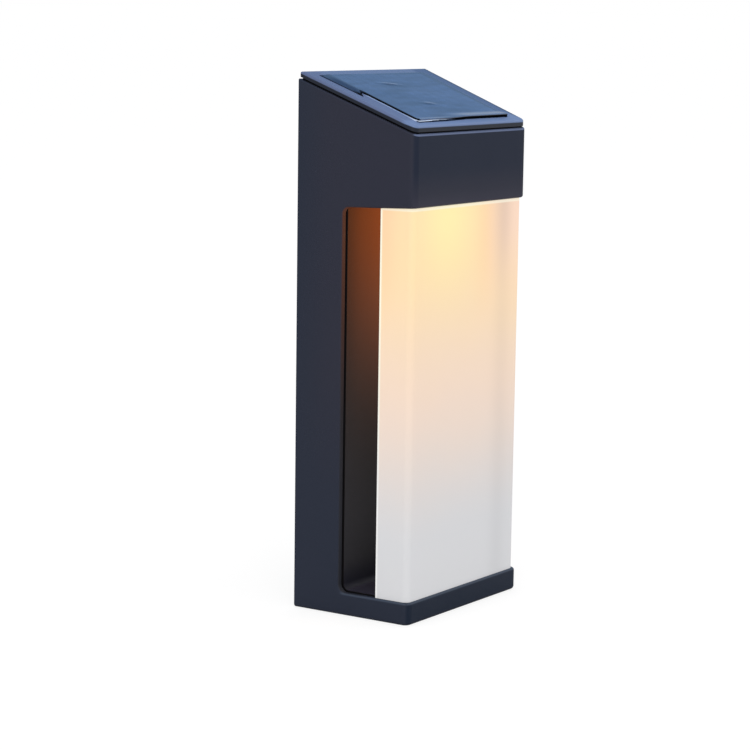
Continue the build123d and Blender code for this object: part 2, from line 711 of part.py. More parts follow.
def top_cover():
    """Sloped slab with a plug inside the head's rim, a recess for the panel and two screw bosses."""
    back = -COVER_INSET
    front = -DEPTH + COVER_INSET
    slab = plan_block(COVER_INSET, back, front, HEAD_UNDER, TOP, COVER_CORNER)
    slab = sloped_layer(slab, 0, COVER_EDGE)
    upper = [e for e in slab.edges() if abs(e.center().Z - slope_z(e.center().Y)) < FIT]
    slab = fillet(upper, COVER_ROUND)

    side = WALL + PLUG_FIT
    plug_front = -DEPTH + side
    plug = plan_block(side, PLUG_BACK, plug_front, HEAD_UNDER, TOP, INNER_ROUND)
    plug = sloped_layer(plug, COVER_EDGE, RIM_DROP + PLUG_DEPTH)
    inner = plan_block(side + PLUG_WALL, PLUG_BACK - PLUG_WALL, plug_front + PLUG_WALL, HEAD_UNDER, TOP)
    body = slab + plug - sloped_layer(inner, RIM_DROP + PAN_DEPTH, HEAD_HEIGHT)

    boss_y = (PLUG_BACK - COVER_BOSS_DEPTH, PLUG_BACK)
    boss_z = (COVER_SCREW_Z - COVER_BOSS_HEIGHT / 2, TOP)
    for x in pair(COVER_SCREW_SPREAD):
        boss = middle_block(COVER_BOSS_WIDTH, boss_y, boss_z, x)
        body += boss - above_slope(COVER_EDGE)
        body -= pilot((x, PLUG_BACK, COVER_SCREW_Z), FROM_WALL, COVER_SCREW_BITE)
    body -= panel_layer(panel_outline(0), RECESS_LEVEL, TOP_DROP)
    return body - lead_slot()


def top_cover_seal():
    """Silicone loop on the housing's rim, set in so that it leaves a shadow gap."""
    inset = COVER_SEAL_INSET
    outer = plan_block(inset, -inset, -DEPTH + inset, HEAD_UNDER, TOP, CORNER_ROUND / 2)
    inner = plan_block(WALL, -REAR_BAR_DEPTH, -DEPTH + WALL, HEAD_UNDER, TOP, INNER_ROUND)
    return sloped_layer(outer - inner, COVER_EDGE, RIM_DROP)


def top_cover_screws():
    seats = [(x, -SCREW_SINK, COVER_SCREW_Z) for x in pair(COVER_SCREW_SPREAD)]
    return [screw(seat, FROM_WALL, COVER_SCREW_LENGTH) for seat in seats]


def solar_tape():
    """Two strips of double-sided foam tape along the board's left and right edges."""
    (left, right), slope_range = board_span()
    strips = ((left, left + TAPE_WIDTH), (right - TAPE_WIDTH, right))
    return [panel_layer(rectangle(strip, slope_range), RECESS_LEVEL, TAPE_TOP_LEVEL) for strip in strips]


def solar_board():
    return panel_layer(rectangle(*board_span()), TAPE_TOP_LEVEL, BOARD_TOP_LEVEL)


def solar_cells():
    """Strips of silicon side by side across the board."""
    (left, right), (back, front) = board_span()
    slope_range = (back + CELL_MARGIN, front - CELL_MARGIN)
    first = left + CELL_MARGIN
    pitch = (right - left - 2 * CELL_MARGIN + CELL_GAP) / CELL_COUNT
    strips = []
    for index in range(CELL_COUNT):
        start = first + index * pitch
        outline = rectangle((start, start + pitch - CELL_GAP), slope_range)
        strips.append(panel_layer(outline, BOARD_TOP_LEVEL, CELL_TOP_LEVEL))
    return strips


def solar_sheet():
    return panel_layer(panel_outline(PANEL_GAP), CELL_TOP_LEVEL, SHEET_PROUD)


def led_lens():
    """Clear window in the ceiling with a flange above it."""
    window_y = (LED_Y - LENS_DEPTH / 2, LED_Y + LENS_DEPTH / 2)
    window = middle_block(LENS_WIDTH, window_y, (CEILING_UNDER, LENS_FLANGE_UNDER))
    flange_y = (window_y[0] - LENS_FLANGE, window_y[1] + LENS_FLANGE)
    return window + middle_block(LENS_WIDTH + 2 * LENS_FLANGE, flange_y, (LENS_FLANGE_UNDER, LENS_TOP))


def led_lens_seal():
    """Flat silicone loop under the lens flange."""
    levels = (CEILING_TOP, LENS_FLANGE_UNDER)
    grow = LENS_DEPTH / 2 + LENS_FLANGE
    hole = LENS_DEPTH / 2 + FIT
    loop = middle_block(LENS_WIDTH + 2 * LENS_FLANGE, (LED_Y - grow, LED_Y + grow), levels)
    return loop - middle_block(LENS_WIDTH + 2 * FIT, (LED_Y - hole, LED_Y + hole), levels)


def led_board():
    y_range = (LED_Y - LED_BOARD_DEPTH / 2, LED_BOARD_REAR)
    board = middle_block(LED_BOARD_WIDTH, y_range, (LED_BOARD_UNDER, LED_BOARD_TOP))
    for x in (-LED_SCREW_X, LED_SCREW_X):
        board -= rod((x, LED_Y, LED_BOARD_UNDER), UP, SCREW_DIAMETER + 2 * HOLE_FIT, LED_BOARD)
    return board


def leds():
    """Row of LED packages on the board's underside."""
    first = -(LED_COUNT - 1) * LED_PITCH / 2
    y_range = (LED_Y - LED_WIDTH / 2, LED_Y + LED_WIDTH / 2)
    levels = (LED_BOARD_UNDER - LED_HEIGHT, LED_BOARD_UNDER)
    places = [first + index * LED_PITCH for index in range(LED_COUNT)]
    return [middle_block(LED_LENGTH, y_range, levels, x) for x in places]


def led_board_screws():
    return [screw((x, LED_Y, LED_BOARD_TOP), DOWN, LED_SCREW_LENGTH) for x in (-LED_SCREW_X, LED_SCREW_X)]


def battery_cell():
    """Round cell in a sleeve, its positive pole at the right."""
    half = CELL_LENGTH / 2
    can = rod((-half, CELL_Y, CELL_Z), (1, 0, 0), CELL_DIAMETER, CELL_LENGTH - CELL_POLE_HEIGHT)
    return can + rod((half - CELL_POLE_HEIGHT, CELL_Y, CELL_Z), (1, 0, 0), CELL_POLE, CELL_POLE_HEIGHT)


def battery_tabs():
    """Nickel strips welded to the cell's two ends."""
    half = CELL_LENGTH / 2
    y_range = (CELL_Y - TAB_WIDTH / 2, CELL_Y + TAB_WIDTH / 2)
    z_range = (CELL_Z - TAB_HEIGHT / 2, CELL_Z + TAB_HEIGHT / 2)
    ends = ((half, half + TAB_THICK), (-half - TAB_THICK, -half))
    return [block(end, y_range, z_range) for end in ends]


def battery_strap():
    """Band over the cell with a screwed foot on each side."""
    width = pair(STRAP_WIDTH)
    outer = STRAP_RADIUS + STRAP
    foot_top = STRAP_FOOT_UNDER + STRAP
    band = rod((width[0], CELL_Y, CELL_Z), (1, 0, 0), 2 * outer, STRAP_WIDTH)
    band += block(width, (CELL_Y - outer, CELL_Y + outer), (STRAP_FOOT_UNDER, CELL_Z))
    body = band & block(width, (CELL_Y - outer, CELL_Y + outer), (STRAP_FOOT_UNDER, CELL_Z + 2 * outer))
    body += block(width, (CELL_Y - STRAP_REACH, CELL_Y + STRAP_REACH), (STRAP_FOOT_UNDER, foot_top))
    body -= rod((width[0], CELL_Y, CELL_Z), (1, 0, 0), 2 * STRAP_RADIUS, STRAP_WIDTH)
    body -= block(width, (CELL_Y - STRAP_RADIUS, CELL_Y + STRAP_RADIUS), (STRAP_FOOT_UNDER, CELL_Z))
    for y in (CELL_Y - STRAP_SCREW_Y, CELL_Y + STRAP_SCREW_Y):
        body -= rod((0, y, STRAP_FOOT_UNDER), UP, SCREW_DIAMETER + 2 * HOLE_FIT, STRAP)
    return body


def battery_strap_screws():
    seat_z = STRAP_FOOT_UNDER + STRAP
    places = (CELL_Y - STRAP_SCREW_Y, CELL_Y + STRAP_SCREW_Y)
    return [screw((0, y, seat_z), DOWN, STRAP_SCREW_LENGTH) for y in places]


def control_board():
    board = middle_block(BOARD_WIDTH, (BOARD_FRONT, BOARD_REAR), pair(BOARD_HEIGHT))
    for x, z in board_hole_places():
        board -= rod((x, BOARD_REAR, z), FROM_WALL, SCREW_DIAMETER + 2 * HOLE_FIT, BOARD)
    return board


def control_board_screws():
    return [screw((x, BOARD_FRONT, z), INTO_WALL, BOARD_SCREW_LENGTH) for x, z in board_hole_places()]


def on_board_front(size, place):
    """Box-shaped part soldered to the board's front face at (x, z)."""
    width, depth, height = size
    x, z = place
    return middle_block(width, (BOARD_FRONT - depth, BOARD_FRONT), (z - height / 2, z + height / 2), x)


def charge_chip():
    return on_board_front(CHIP, CHIP_PLACE)


def charge_inductor():
    return on_board_front(INDUCTOR, INDUCTOR_PLACE)


def board_capacitor():
    x, z = CAPACITOR_PLACE
    return rod((x, BOARD_REAR, z), INTO_WALL, CAPACITOR_DIAMETER, CAPACITOR_HEIGHT)


def board_resistors():
    first = -(RESISTOR_COUNT - 1) * RESISTOR_PITCH / 2
    places = [(first + index * RESISTOR_PITCH, RESISTOR_HEIGHT_PLACE) for index in range(RESISTOR_COUNT)]
    return [on_board_front(RESISTOR, place) for place in places]


def lead_connectors():
    """Three two-way sockets on the board's rear face, open upwards."""
    width, depth, height = CONNECTOR
    z_range = (CONNECTOR_HEIGHT_PLACE - height / 2, CONNECTOR_HEIGHT_PLACE + height / 2)
    places = (SOLAR_CONNECTOR_X, BATTERY_CONNECTOR_X, LED_CONNECTOR_X)
    return [middle_block(width, (BOARD_REAR, BOARD_REAR + depth), z_range, x) for x in places]


def switch_body():
    """Push switch on the board, open towards the wall for its plunger."""
    levels = (BUTTON_Z - SWITCH_SIZE / 2, BUTTON_Z + SWITCH_SIZE / 2)
    body = middle_block(SWITCH_SIZE, (BOARD_REAR, SWITCH_TOP), levels)
    depth = PLUNGER_HELD + BUTTON_TRAVEL + PLUNGER_FLOOR_GAP
    return body - rod((0, SWITCH_TOP, BUTTON_Z), FROM_WALL, PLUNGER_DIAMETER + 2 * PLUNGER_FIT, depth)


def switch_plunger():
    start = (0, SWITCH_TOP - PLUNGER_HELD, BUTTON_Z)
    return rod(start, INTO_WALL, PLUNGER_DIAMETER, FLANGE_FRONT - start[1])


def push_button():
    """Round button in the rear cover's bore, with a dished face and a flange inside."""
    length = -BUTTON_RECESS - FLANGE_REAR
    cap = rod((0, FLANGE_REAR, BUTTON_Z), INTO_WALL, BUTTON_DIAMETER, length)
    rim = cap.edges().filter_by(GeomType.CIRCLE).sort_by(Axis.Y)[-1]
    cap = fillet(rim, BUTTON_EDGE_ROUND)
    chord = BUTTON_DIAMETER / 2 - BUTTON_EDGE_ROUND
    radius = (chord ** 2 + BUTTON_DISH ** 2) / (2 * BUTTON_DISH)
    dish = Pos(0, -BUTTON_RECESS - BUTTON_DISH + radius, BUTTON_Z) * Sphere(radius)
    flange = rod((0, FLANGE_FRONT, BUTTON_Z), INTO_WALL, BUTTON_FLANGE, BUTTON_FLANGE_THICK)
    return cap - dish + flange


def button_washer():
    """Soft ring between the button's flange and the rear cover, carried by the button."""
    ring = rod((0, FLANGE_REAR, BUTTON_Z), INTO_WALL, BUTTON_FLANGE, WASHER)
    return ring - rod((0, FLANGE_REAR, BUTTON_Z), INTO_WALL, BUTTON_DIAMETER, WASHER)


def lead(points):
    """Insulated wire along straight runs with rounded bends."""
    path = FilletPolyline(*points, radius=LEAD_BEND)
    section = Plane(origin=path @ 0, z_dir=path % 0) * Circle(LEAD_DIAMETER / 2)
    return sweep(section, path=path)


def spine_drop(x, height):
    """A lead's last points: down behind the shelf from a height, then into its connector from above."""
    behind_shelf = -(REAR_COVER + LINER_SHELF_BACK) / 2
    socket_y = BOARD_REAR + CONNECTOR[1] / 2
    socket_z = CONNECTOR_HEIGHT_PLACE + CONNECTOR[2] / 2
    return [
        (x, behind_shelf, height),
        (x, behind_shelf, socket_z + LEAD_STRAIGHT + LEAD_SPINE_STEP),
        (x, socket_y, socket_z + LEAD_STRAIGHT),
        (x, socket_y, socket_z),
    ]


def solar_lead(side):
    """From the solar board's underside through the cover's slot and down the spine."""
    (left, right), (back, front) = board_span()
    pad_x = (left + right) / 2 + side * LEAD_PAD_PITCH / 2
    pad_y = slope_y((back + front) / 2)
    pad_z = slope_z(pad_y - LEAD_DIAMETER / 2) + (TAPE_TOP_LEVEL - SCREW_FIT) / math.cos(SLOPE_ANGLE)
    start = [
        (pad_x, pad_y, pad_z),
        (pad_x, pad_y, pad_z - SOLAR_LEAD_FALL),
        (pad_x - SOLAR_LEAD_ASIDE, pad_y + SOLAR_LEAD_BACK, pad_z - 1.5 * SOLAR_LEAD_FALL),
    ]
    spine_top = pad_z - 2.5 * SOLAR_LEAD_FALL
    return lead(start + spine_drop(SOLAR_CONNECTOR_X + side * LEAD_PITCH / 2, spine_top))


def battery_lead(side):
    """From a tab on one end of the cell round behind it and down the spine."""
    level = CELL_Z if side > 0 else CELL_Z + BATTERY_LEAD_STAGGER
    behind_cell = CELL_Y + STRAP_REACH + BATTERY_LEAD_BEHIND
    x = BATTERY_CONNECTOR_X + side * LEAD_PITCH / 2
    tab_x = side * (CELL_LENGTH / 2 + TAB_THICK)
    out_x = tab_x + side * BATTERY_LEAD_OUT
    start = [
        (tab_x, CELL_Y, CELL_Z),
        (out_x, CELL_Y, CELL_Z),
        (out_x, behind_cell, level),
        (x, behind_cell, level),
    ]
    return lead(start + spine_drop(x, level - BATTERY_LEAD_FALL))


def led_lead(side):
    """From the LED board over the cell and down the spine."""
    pad_x = LED_SCREW_X - SCREW_HEAD - LEAD_PAD_PITCH / 2 + side * LEAD_PAD_PITCH / 2
    pad_y = LED_Y + LED_BOARD_DEPTH / 4
    over = CELL_Z + CELL_RADIUS + LED_LEAD_OVER
    behind = CELL_Y + CELL_RADIUS + LED_LEAD_BEHIND
    x = LED_CONNECTOR_X + side * LEAD_PITCH / 2
    start = [
        (pad_x, pad_y, LED_BOARD_TOP),
        (pad_x, pad_y, LED_BOARD_TOP + LED_LEAD_RISE),
        (x, CELL_Y - CELL_RADIUS, over),
        (x, behind, over - LED_LEAD_DIP),
    ]
    return lead(start + spine_drop(x, over - LED_LEAD_DIP - LED_LEAD_FALL))


def solar_lead_red():
    return solar_lead(1)


def solar_lead_black():
    return solar_lead(-1)


def battery_lead_red():
    return battery_lead(1)


def battery_lead_black():
    return battery_lead(-1)


def led_lead_red():
    return led_lead(1)


def led_lead_black():
    return led_lead(-1)


NODES = {
    "housing": housing,
    "inner_liner": inner_liner,
    "liner_screws": liner_screws,
    "diffuser": diffuser,
    "rear_cover": rear_cover,
    "rear_cover_seal": rear_cover_seal,
    "rear_cover_screws": rear_cover_screws,
    "top_cover": top_cover,
    "top_cover_seal": top_cover_seal,
    "top_cover_screws": top_cover_screws,
    "solar_tape": solar_tape,
    "solar_board": solar_board,
    "solar_cells": solar_cells,
    "solar_sheet": solar_sheet,
    "led_lens": led_lens,
    "led_lens_seal": led_lens_seal,
    "led_board": led_board,
    "leds": leds,
    "led_board_screws": led_board_screws,
    "battery_cell": battery_cell,
    "battery_tabs": battery_tabs,
    "battery_strap": battery_strap,
    "battery_strap_screws": battery_strap_screws,
    "control_board": control_board,
    "control_board_screws": control_board_screws,
    "charge_chip": charge_chip,
    "charge_inductor": charge_inductor,
    "board_capacitor": board_capacitor,
    "board_resistors": board_resistors,
    "lead_connectors": lead_connectors,
    "switch_body": switch_body,
    "switch_plunger": switch_plunger,
    "push_button": push_button,
    "button_washer": button_washer,
    "solar_lead_red": solar_lead_red,
    "solar_lead_black": solar_lead_black,
    "battery_lead_red": battery_lead_red,
    "battery_lead_black": battery_lead_black,
    "led_lead_red": led_lead_red,
    "led_lead_black": led_lead_black,
}


def write_parts():
    """One file per node; identical pieces share a node as separate solids."""
    os.makedirs("parts", exist_ok=True)
    for name, make in NODES.items():
        made = make()
        solids = made if isinstance(made, list) else [made]
        shape = solids[0] if len(solids) == 1 else Compound(children=solids)
        export_step(shape, f"parts/{name}.step")


write_parts()
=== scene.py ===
import math

import bpy
import numpy as np
from mathutils import Matrix, Vector


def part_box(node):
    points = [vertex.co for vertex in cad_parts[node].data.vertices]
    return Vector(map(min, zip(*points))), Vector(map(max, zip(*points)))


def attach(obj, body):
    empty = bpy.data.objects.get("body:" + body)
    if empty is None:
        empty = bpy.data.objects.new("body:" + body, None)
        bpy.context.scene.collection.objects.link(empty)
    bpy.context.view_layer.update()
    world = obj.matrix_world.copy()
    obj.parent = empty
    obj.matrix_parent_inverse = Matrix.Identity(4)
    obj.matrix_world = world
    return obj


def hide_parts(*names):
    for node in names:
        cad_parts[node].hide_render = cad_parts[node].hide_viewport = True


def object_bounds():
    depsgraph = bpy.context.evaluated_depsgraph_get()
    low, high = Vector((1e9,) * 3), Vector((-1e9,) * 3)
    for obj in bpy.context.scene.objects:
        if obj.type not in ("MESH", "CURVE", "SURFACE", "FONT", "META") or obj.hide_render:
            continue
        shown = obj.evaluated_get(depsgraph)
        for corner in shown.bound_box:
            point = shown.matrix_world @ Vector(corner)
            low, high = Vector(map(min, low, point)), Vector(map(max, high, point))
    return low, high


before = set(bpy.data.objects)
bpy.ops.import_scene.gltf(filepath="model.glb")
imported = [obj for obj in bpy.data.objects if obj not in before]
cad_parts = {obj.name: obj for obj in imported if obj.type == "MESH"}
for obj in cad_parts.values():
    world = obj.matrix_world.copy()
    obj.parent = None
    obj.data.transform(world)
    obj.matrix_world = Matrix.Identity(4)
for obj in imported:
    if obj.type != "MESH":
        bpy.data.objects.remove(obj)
cad_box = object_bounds()

MM = 0.001

# Plan of the body: half its width at the wall, its depth, its front, and how fast its sides draw in
HALF_BACK = 40.0 * MM
DEPTH = 50.0 * MM
FRONT = -DEPTH
SIDE_TAPER = 0.058

# Heights: the base's underside, the open window's lower and upper edges, and the liner's floor
BOTTOM = cad_box[0][2]
WINDOW_LOW = BOTTOM + 8.5 * MM
WINDOW_HIGH = 55.4 * MM
FLOOR_LEVEL = WINDOW_LOW + 0.5 * MM

# Depths: the front of the spine's side lips, and the diffuser's rear edge
SPINE_LIP = -19.6 * MM
DIFFUSER_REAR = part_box("diffuser")[1][1]

# The top's slope: its rear edge, its angle, and its directions down to the front and outward
SLOPE_FALL = 18.6 * MM
SLOPE_TOP = Vector((0.0, 0.0, 103.0 * MM))
SLOPE_ANGLE = math.atan2(SLOPE_FALL, DEPTH)
SLOPE_DOWN = Vector((0.0, -math.cos(SLOPE_ANGLE), -math.sin(SLOPE_ANGLE)))
SLOPE_OUT = Vector((0.0, -math.sin(SLOPE_ANGLE), math.cos(SLOPE_ANGLE)))

# The clear sheet on the slope: its borders from the body's edges, its clearance in the cover's recess, and
# the step in its left edge with its place down the slope and its slant
REAR_BORDER, FRONT_BORDER = 5.0 * MM, 4.2 * MM
LEFT_BORDER, RIGHT_BORDER = 5.5 * MM, 7.5 * MM
CLEARANCE = 0.3 * MM
STEP_IN, STEP_AT, STEP_SLANT = 3.4 * MM, 25.25 * MM, 3.6 * MM
OUTLINE_POINTS = 600

# The solar cells: how many strips, the gap between them, and the pitch of their silver fingers with the
# share of that pitch at which a finger's line begins and is full
CELL_COUNT = 10
CELL_GAP = 0.5 * MM
FINGER_PITCH = 1.1 * MM
FINGER_LINE = (0.86, 0.94)

# Plain colours, and the near-black painted shade in the gap of the seam between the housing and the liner
BLACK = (0.0, 0.0, 0.0)
WHITE = (1.0, 1.0, 1.0)
SEAM_SHADE = (0.0055, 0.0048, 0.0056)


class Flow:
    """A socket that carries a value; arithmetic on it adds Math nodes and gives the result."""

    def __init__(self, finish, socket):
        self.finish = finish
        self.socket = socket

    def step(self, operation, *values):
        """One Math node over values."""
        return self.finish.add("ShaderNodeMath", {"operation": operation}, dict(enumerate(values)))

    def __add__(self, other):
        return self.step("ADD", self, other)

    def __sub__(self, other):
        return self.step("SUBTRACT", self, other)

    def __mul__(self, other):
        return self.step("MULTIPLY", self, other)

    def __truediv__(self, other):
        return self.step("DIVIDE", self, other)

    def __radd__(self, other):
        return self.step("ADD", other, self)

    def __rsub__(self, other):
        return self.step("SUBTRACT", other, self)

    def __rmul__(self, other):
        return self.step("MULTIPLY", other, self)

    def __abs__(self):
        return self.step("ABSOLUTE", self)

    def most(self, other):
        """The larger of two values."""
        return self.step("MAXIMUM", self, other)

    def cycle(self, length):
        """Share of the way through the present repeat of a length."""
        return self.step("FRACT", self / length)

    def rise(self, low, high):
        """0 below low, 1 above high, with a smooth step between; high may be the smaller."""
        flip = low > high
        start, end = (high, low) if flip else (low, high)
        sockets = {"Value": self, "From Min": start, "From Max": end}
        result = self.finish.add("ShaderNodeMapRange", {"interpolation_type": "SMOOTHSTEP"}, sockets)
        return 1 - result if flip else result

    def band(self, start, full, fade, end):
        """1 from full to fade, with a smooth step down to 0 at start and at end."""
        return self.rise(start, full) * self.rise(end, fade)

    def bell(self, centre, width):
        """1 at the centre, falling to about a third at one width from it."""
        offset = (self - centre) / width
        return self.step("POWER", math.e, 0 - offset * offset)


class Finish:
    """A material or world being put together; every node comes from add()."""

    # Places of the share, the two colours and the result on the Mix node, whose sockets repeat their names
    MIX_SHARE, MIX_FIRST, MIX_SECOND, MIX_RESULT = 0, 6, 7, 2

    def __init__(self, owner):
        owner.use_nodes = True
        self.owner = owner
        self.tree = owner.node_tree
        self.tree.nodes.clear()

    def add(self, kind, settings=None, sockets=None, out=0):
        """One node of a type: its settings first, then the values or links of its sockets."""
        node = self.tree.nodes.new(kind)
        for name, value in (settings or {}).items():
            setattr(node, name, value)
        for name, value in (sockets or {}).items():
            socket = node.inputs[name]
            if isinstance(value, Flow):
                self.tree.links.new(value.socket, socket)
            elif isinstance(value, tuple) and len(value) == 3 and socket.type == "RGBA":
                socket.default_value = (*value, 1.0)
            else:
                socket.default_value = value
        return Flow(self, node.outputs[out]) if node.outputs else None

    def point(self):
        """Object coordinates, in metres."""
        return self.add("ShaderNodeTexCoord", out="Object")

    def axes(self):
        """Object coordinates as three values."""
        split = self.add("ShaderNodeSeparateXYZ", None, {0: self.point()})
        return [Flow(self, socket) for socket in split.socket.node.outputs]

    def along(self, place, way):
        """How far a place or a direction reaches along a way."""
        sockets = {0: place, 1: way}
        return self.add("ShaderNodeVectorMath", {"operation": "DOT_PRODUCT"}, sockets, out="Value")

    def slope(self):
        """How far a point lies down the top's slope, and how far out from it."""
        sockets = {0: self.point(), 1: SLOPE_TOP}
        place = self.add("ShaderNodeVectorMath", {"operation": "SUBTRACT"}, sockets)
        return self.along(place, SLOPE_DOWN), self.along(place, SLOPE_OUT)

    def marked(self):
        """The mark on a mesh's points: 1 on its dark edge, which carries painted shade."""
        return self.add("ShaderNodeAttribute", {"attribute_name": "wall"}, out="Fac")

    def noise(self, size, detail=3.0, rough=0.6, stretch=(1.0, 1.0, 1.0)):
        """Cloudy value about 0.5 whose spots are about size metres across, stretched along the axes."""
        scale = tuple(1.0 / (size * share) for share in stretch)
        place = self.add("ShaderNodeMapping", None, {"Vector": self.point(), "Scale": scale})
        sockets = {"Vector": place, "Scale": 1.0, "Detail": detail, "Roughness": rough}
        return self.add("ShaderNodeTexNoise", None, sockets)

    def pits(self, size):
        """Distance from the nearest of scattered points, about 0 to 1, with cells of a size in metres."""
        return self.add("ShaderNodeTexVoronoi", None, {"Vector": self.point(), "Scale": 1.0 / size})

    def mix(self, share, first, second):
        """Colour between two colours."""
        sockets = {self.MIX_SHARE: share, self.MIX_FIRST: first, self.MIX_SECOND: second}
        return self.add("ShaderNodeMix", {"data_type": "RGBA"}, sockets, out=self.MIX_RESULT)

    def layered(self, colour, *layers):
        """A colour with others laid over it in turn, each given as its share and its colour."""
        for share, layer in layers:
            colour = self.mix(share, colour, layer)
        return colour

    def scaled(self, colour, factor):
        """Colour times a value."""
        return self.add("ShaderNodeVectorMath", {"operation": "SCALE"}, {0: colour, "Scale": factor})

    def bump(self, height, depth, strength=1.0):
        """Normal over a height from 0 to 1 that stands for depth metres."""
        return self.add("ShaderNodeBump", None, {"Height": height, "Distance": depth, "Strength": strength})

    def shader(self, **sockets):
        """A surface shader, with its sockets named with underscores for spaces."""
        named = {name.replace("_", " "): value for name, value in sockets.items()}
        return self.add("ShaderNodeBsdfPrincipled", None, named)

    def output(self, shader):
        """The finished material."""
        self.add("ShaderNodeOutputMaterial", None, {"Surface": shader})
        return self.owner

    def surface(self, **sockets):
        """The finished material with one surface shader."""
        return self.output(self.shader(**sockets))

    def edged(self, share, shader, dark, cloud):
        """The finished material with a shader, and by a share a dull dark edge in its place."""
        edge = self.shader(Base_Color=dark, Roughness=0.6 + 0.2 * cloud, Specular_IOR_Level=0.03)
        return self.output(self.add("ShaderNodeMixShader", None, {0: share, 1: shader, 2: edge}))


def new_finish(name):
    """A new material, still bare."""
    return Finish(bpy.data.materials.new(name))


def vary(middle, *parts):
    """A value about a middle that follows cloudy values, each with its weight."""
    for cloud, weight in parts:
        middle = middle + (cloud - 0.5) * weight
    return middle


def eroded(fine, cells):
    """Height of the grain that a spark-eroded mould leaves, from a fine cloudy value and pits."""
    return fine * 0.65 + cells * 0.35


def from_side(x, y):
    """How far a point lies in from the body's right side, or from the nearer side when x has no sign."""
    return HALF_BACK - x + y * SIDE_TAPER


def moulding(name, dark, light, grain=0.5 * MM, depth=0.02 * MM, rough=0.5, specular=0.25):
    """Moulded plastic: spark-eroded grain, faint flow mottling and a roughness that follows the grain."""
    finish = new_finish(name)
    fine = finish.noise(grain)
    cells = finish.pits(grain * 1.6)
    flow = finish.noise(38 * MM, rough=0.55, stretch=(1.0, 1.0, 2.5))
    return finish.surface(
        Base_Color=finish.mix(vary(0.5, (flow, 0.9), (fine, 0.5)), dark, light),
        Roughness=vary(rough, (fine, 0.16), (flow, 0.10)),
        Specular_IOR_Level=specular,
        Normal=finish.bump(eroded(fine, cells), depth),
    )


def shell_finish():
    """Housing plastic with painted highlights, paler on the rim under the cover and along the base's top
    front edge.
    The window's lip takes a painted glow of the lamp's warm light near the head and lies in painted shade
    lower down. Painted shade darkens the base's front, the head's upper front and the gap of the seam beside
    the liner; painted warm light brightens the upper part ahead of the spine and the head's front near its
    lower edge."""
    finish = new_finish("dark_shell")
    x, y, z = finish.axes()
    inward = from_side(abs(x), y)
    out = finish.slope()[1]
    fine = finish.noise(0.32 * MM)
    cells = finish.pits(0.5 * MM)
    flow = finish.noise(42 * MM, rough=0.55, stretch=(1.0, 1.0, 2.5))
    tone = vary(0.5, (flow, 0.8), (fine, 0.5))

    front = y.rise(FRONT + 1.6 * MM, FRONT + 0.6 * MM)
    corner = front.most(inward.rise(1.05 * MM, 0.55 * MM))
    # Painted highlight along the base's top edge, at the front and on the sides ahead of the spine.
    ledge_highlight = z.band(WINDOW_LOW - 0.9 * MM, WINDOW_LOW - 0.3 * MM, WINDOW_LOW + 0.3 * MM, WINDOW_LOW + 0.8 * MM)
    ledge_highlight = ledge_highlight * corner * y.rise(SPINE_LIP, SPINE_LIP - 3 * MM)
    # Painted shade on the base's front face.
    base_front_shade = front * z.rise(WINDOW_LOW - 0.4 * MM, WINDOW_LOW - 1.2 * MM)
    # Painted warm light: paler and warmer on the upper part of the housing ahead of the spine.
    beside = y.rise(2 * MM, -17 * MM) * z.rise(-70 * MM, 0.0)
    # Painted shade on the upper part of the head's front.
    head_front_shade = front * z.rise(59 * MM, 70 * MM)
    # Painted light on the head's front near its lower edge.
    head_edge_light = front * z.band(45 * MM, 50 * MM, 56 * MM, 61 * MM)
    # Painted highlight on the housing's rim under the cover, strong at the front and faint on the sides.
    rim = out.rise(-3.32 * MM, -3.14 * MM) * (0.04 + 0.96 * front)

    window = z.band(WINDOW_LOW - 1 * MM, WINDOW_LOW + 1 * MM, WINDOW_HIGH, WINDOW_HIGH + 1 * MM)
    window = window * y.rise(-34 * MM, -26 * MM)
    lip = window * y.rise(SPINE_LIP + 1.0 * MM, SPINE_LIP + 0.1 * MM) * inward.rise(0.10 * MM, 0.60 * MM)
    lip_shade = finish.mix(z.rise(-40 * MM, 40 * MM), (0.0235, 0.0240, 0.0285), (0.0095, 0.0085, 0.0085))
    # Painted shade: near-black on the housing's faces inside the window, in the gap beside the liner.
    inner = window * inward.rise(2.05 * MM, 2.20 * MM)
    glow = lip * z.rise(-30 * MM, 60 * MM) * (1 - inner)

    colour = finish.layered(
        finish.mix(tone, (0.0138, 0.0186, 0.0330), (0.0188, 0.0236, 0.0400)),
        (ledge_highlight * 0.55, (0.070, 0.090, 0.125)),
        (base_front_shade * 0.9, (0.0045, 0.0105, 0.0240)),
        (beside * 0.75, (0.0225, 0.0226, 0.0365)),
        (head_front_shade, (0.0106, 0.0150, 0.0305)),
        (head_edge_light * 0.9, (0.0300, 0.0295, 0.0460)),
        (rim * 0.85, (0.125, 0.160, 0.270)),
        (lip * 0.8, lip_shade),
        (inner, SEAM_SHADE),
    )
    return finish.surface(
        Base_Color=colour,
        Roughness=vary(0.56, (fine, 0.16), (flow, 0.10)),
        Specular_IOR_Level=0.16,
        Emission_Color=finish.mix(glow, BLACK, (0.070, 0.018, 0.006)),
        Emission_Strength=1.0,
        Normal=finish.bump(eroded(fine, cells), 0.05 * MM),
    )


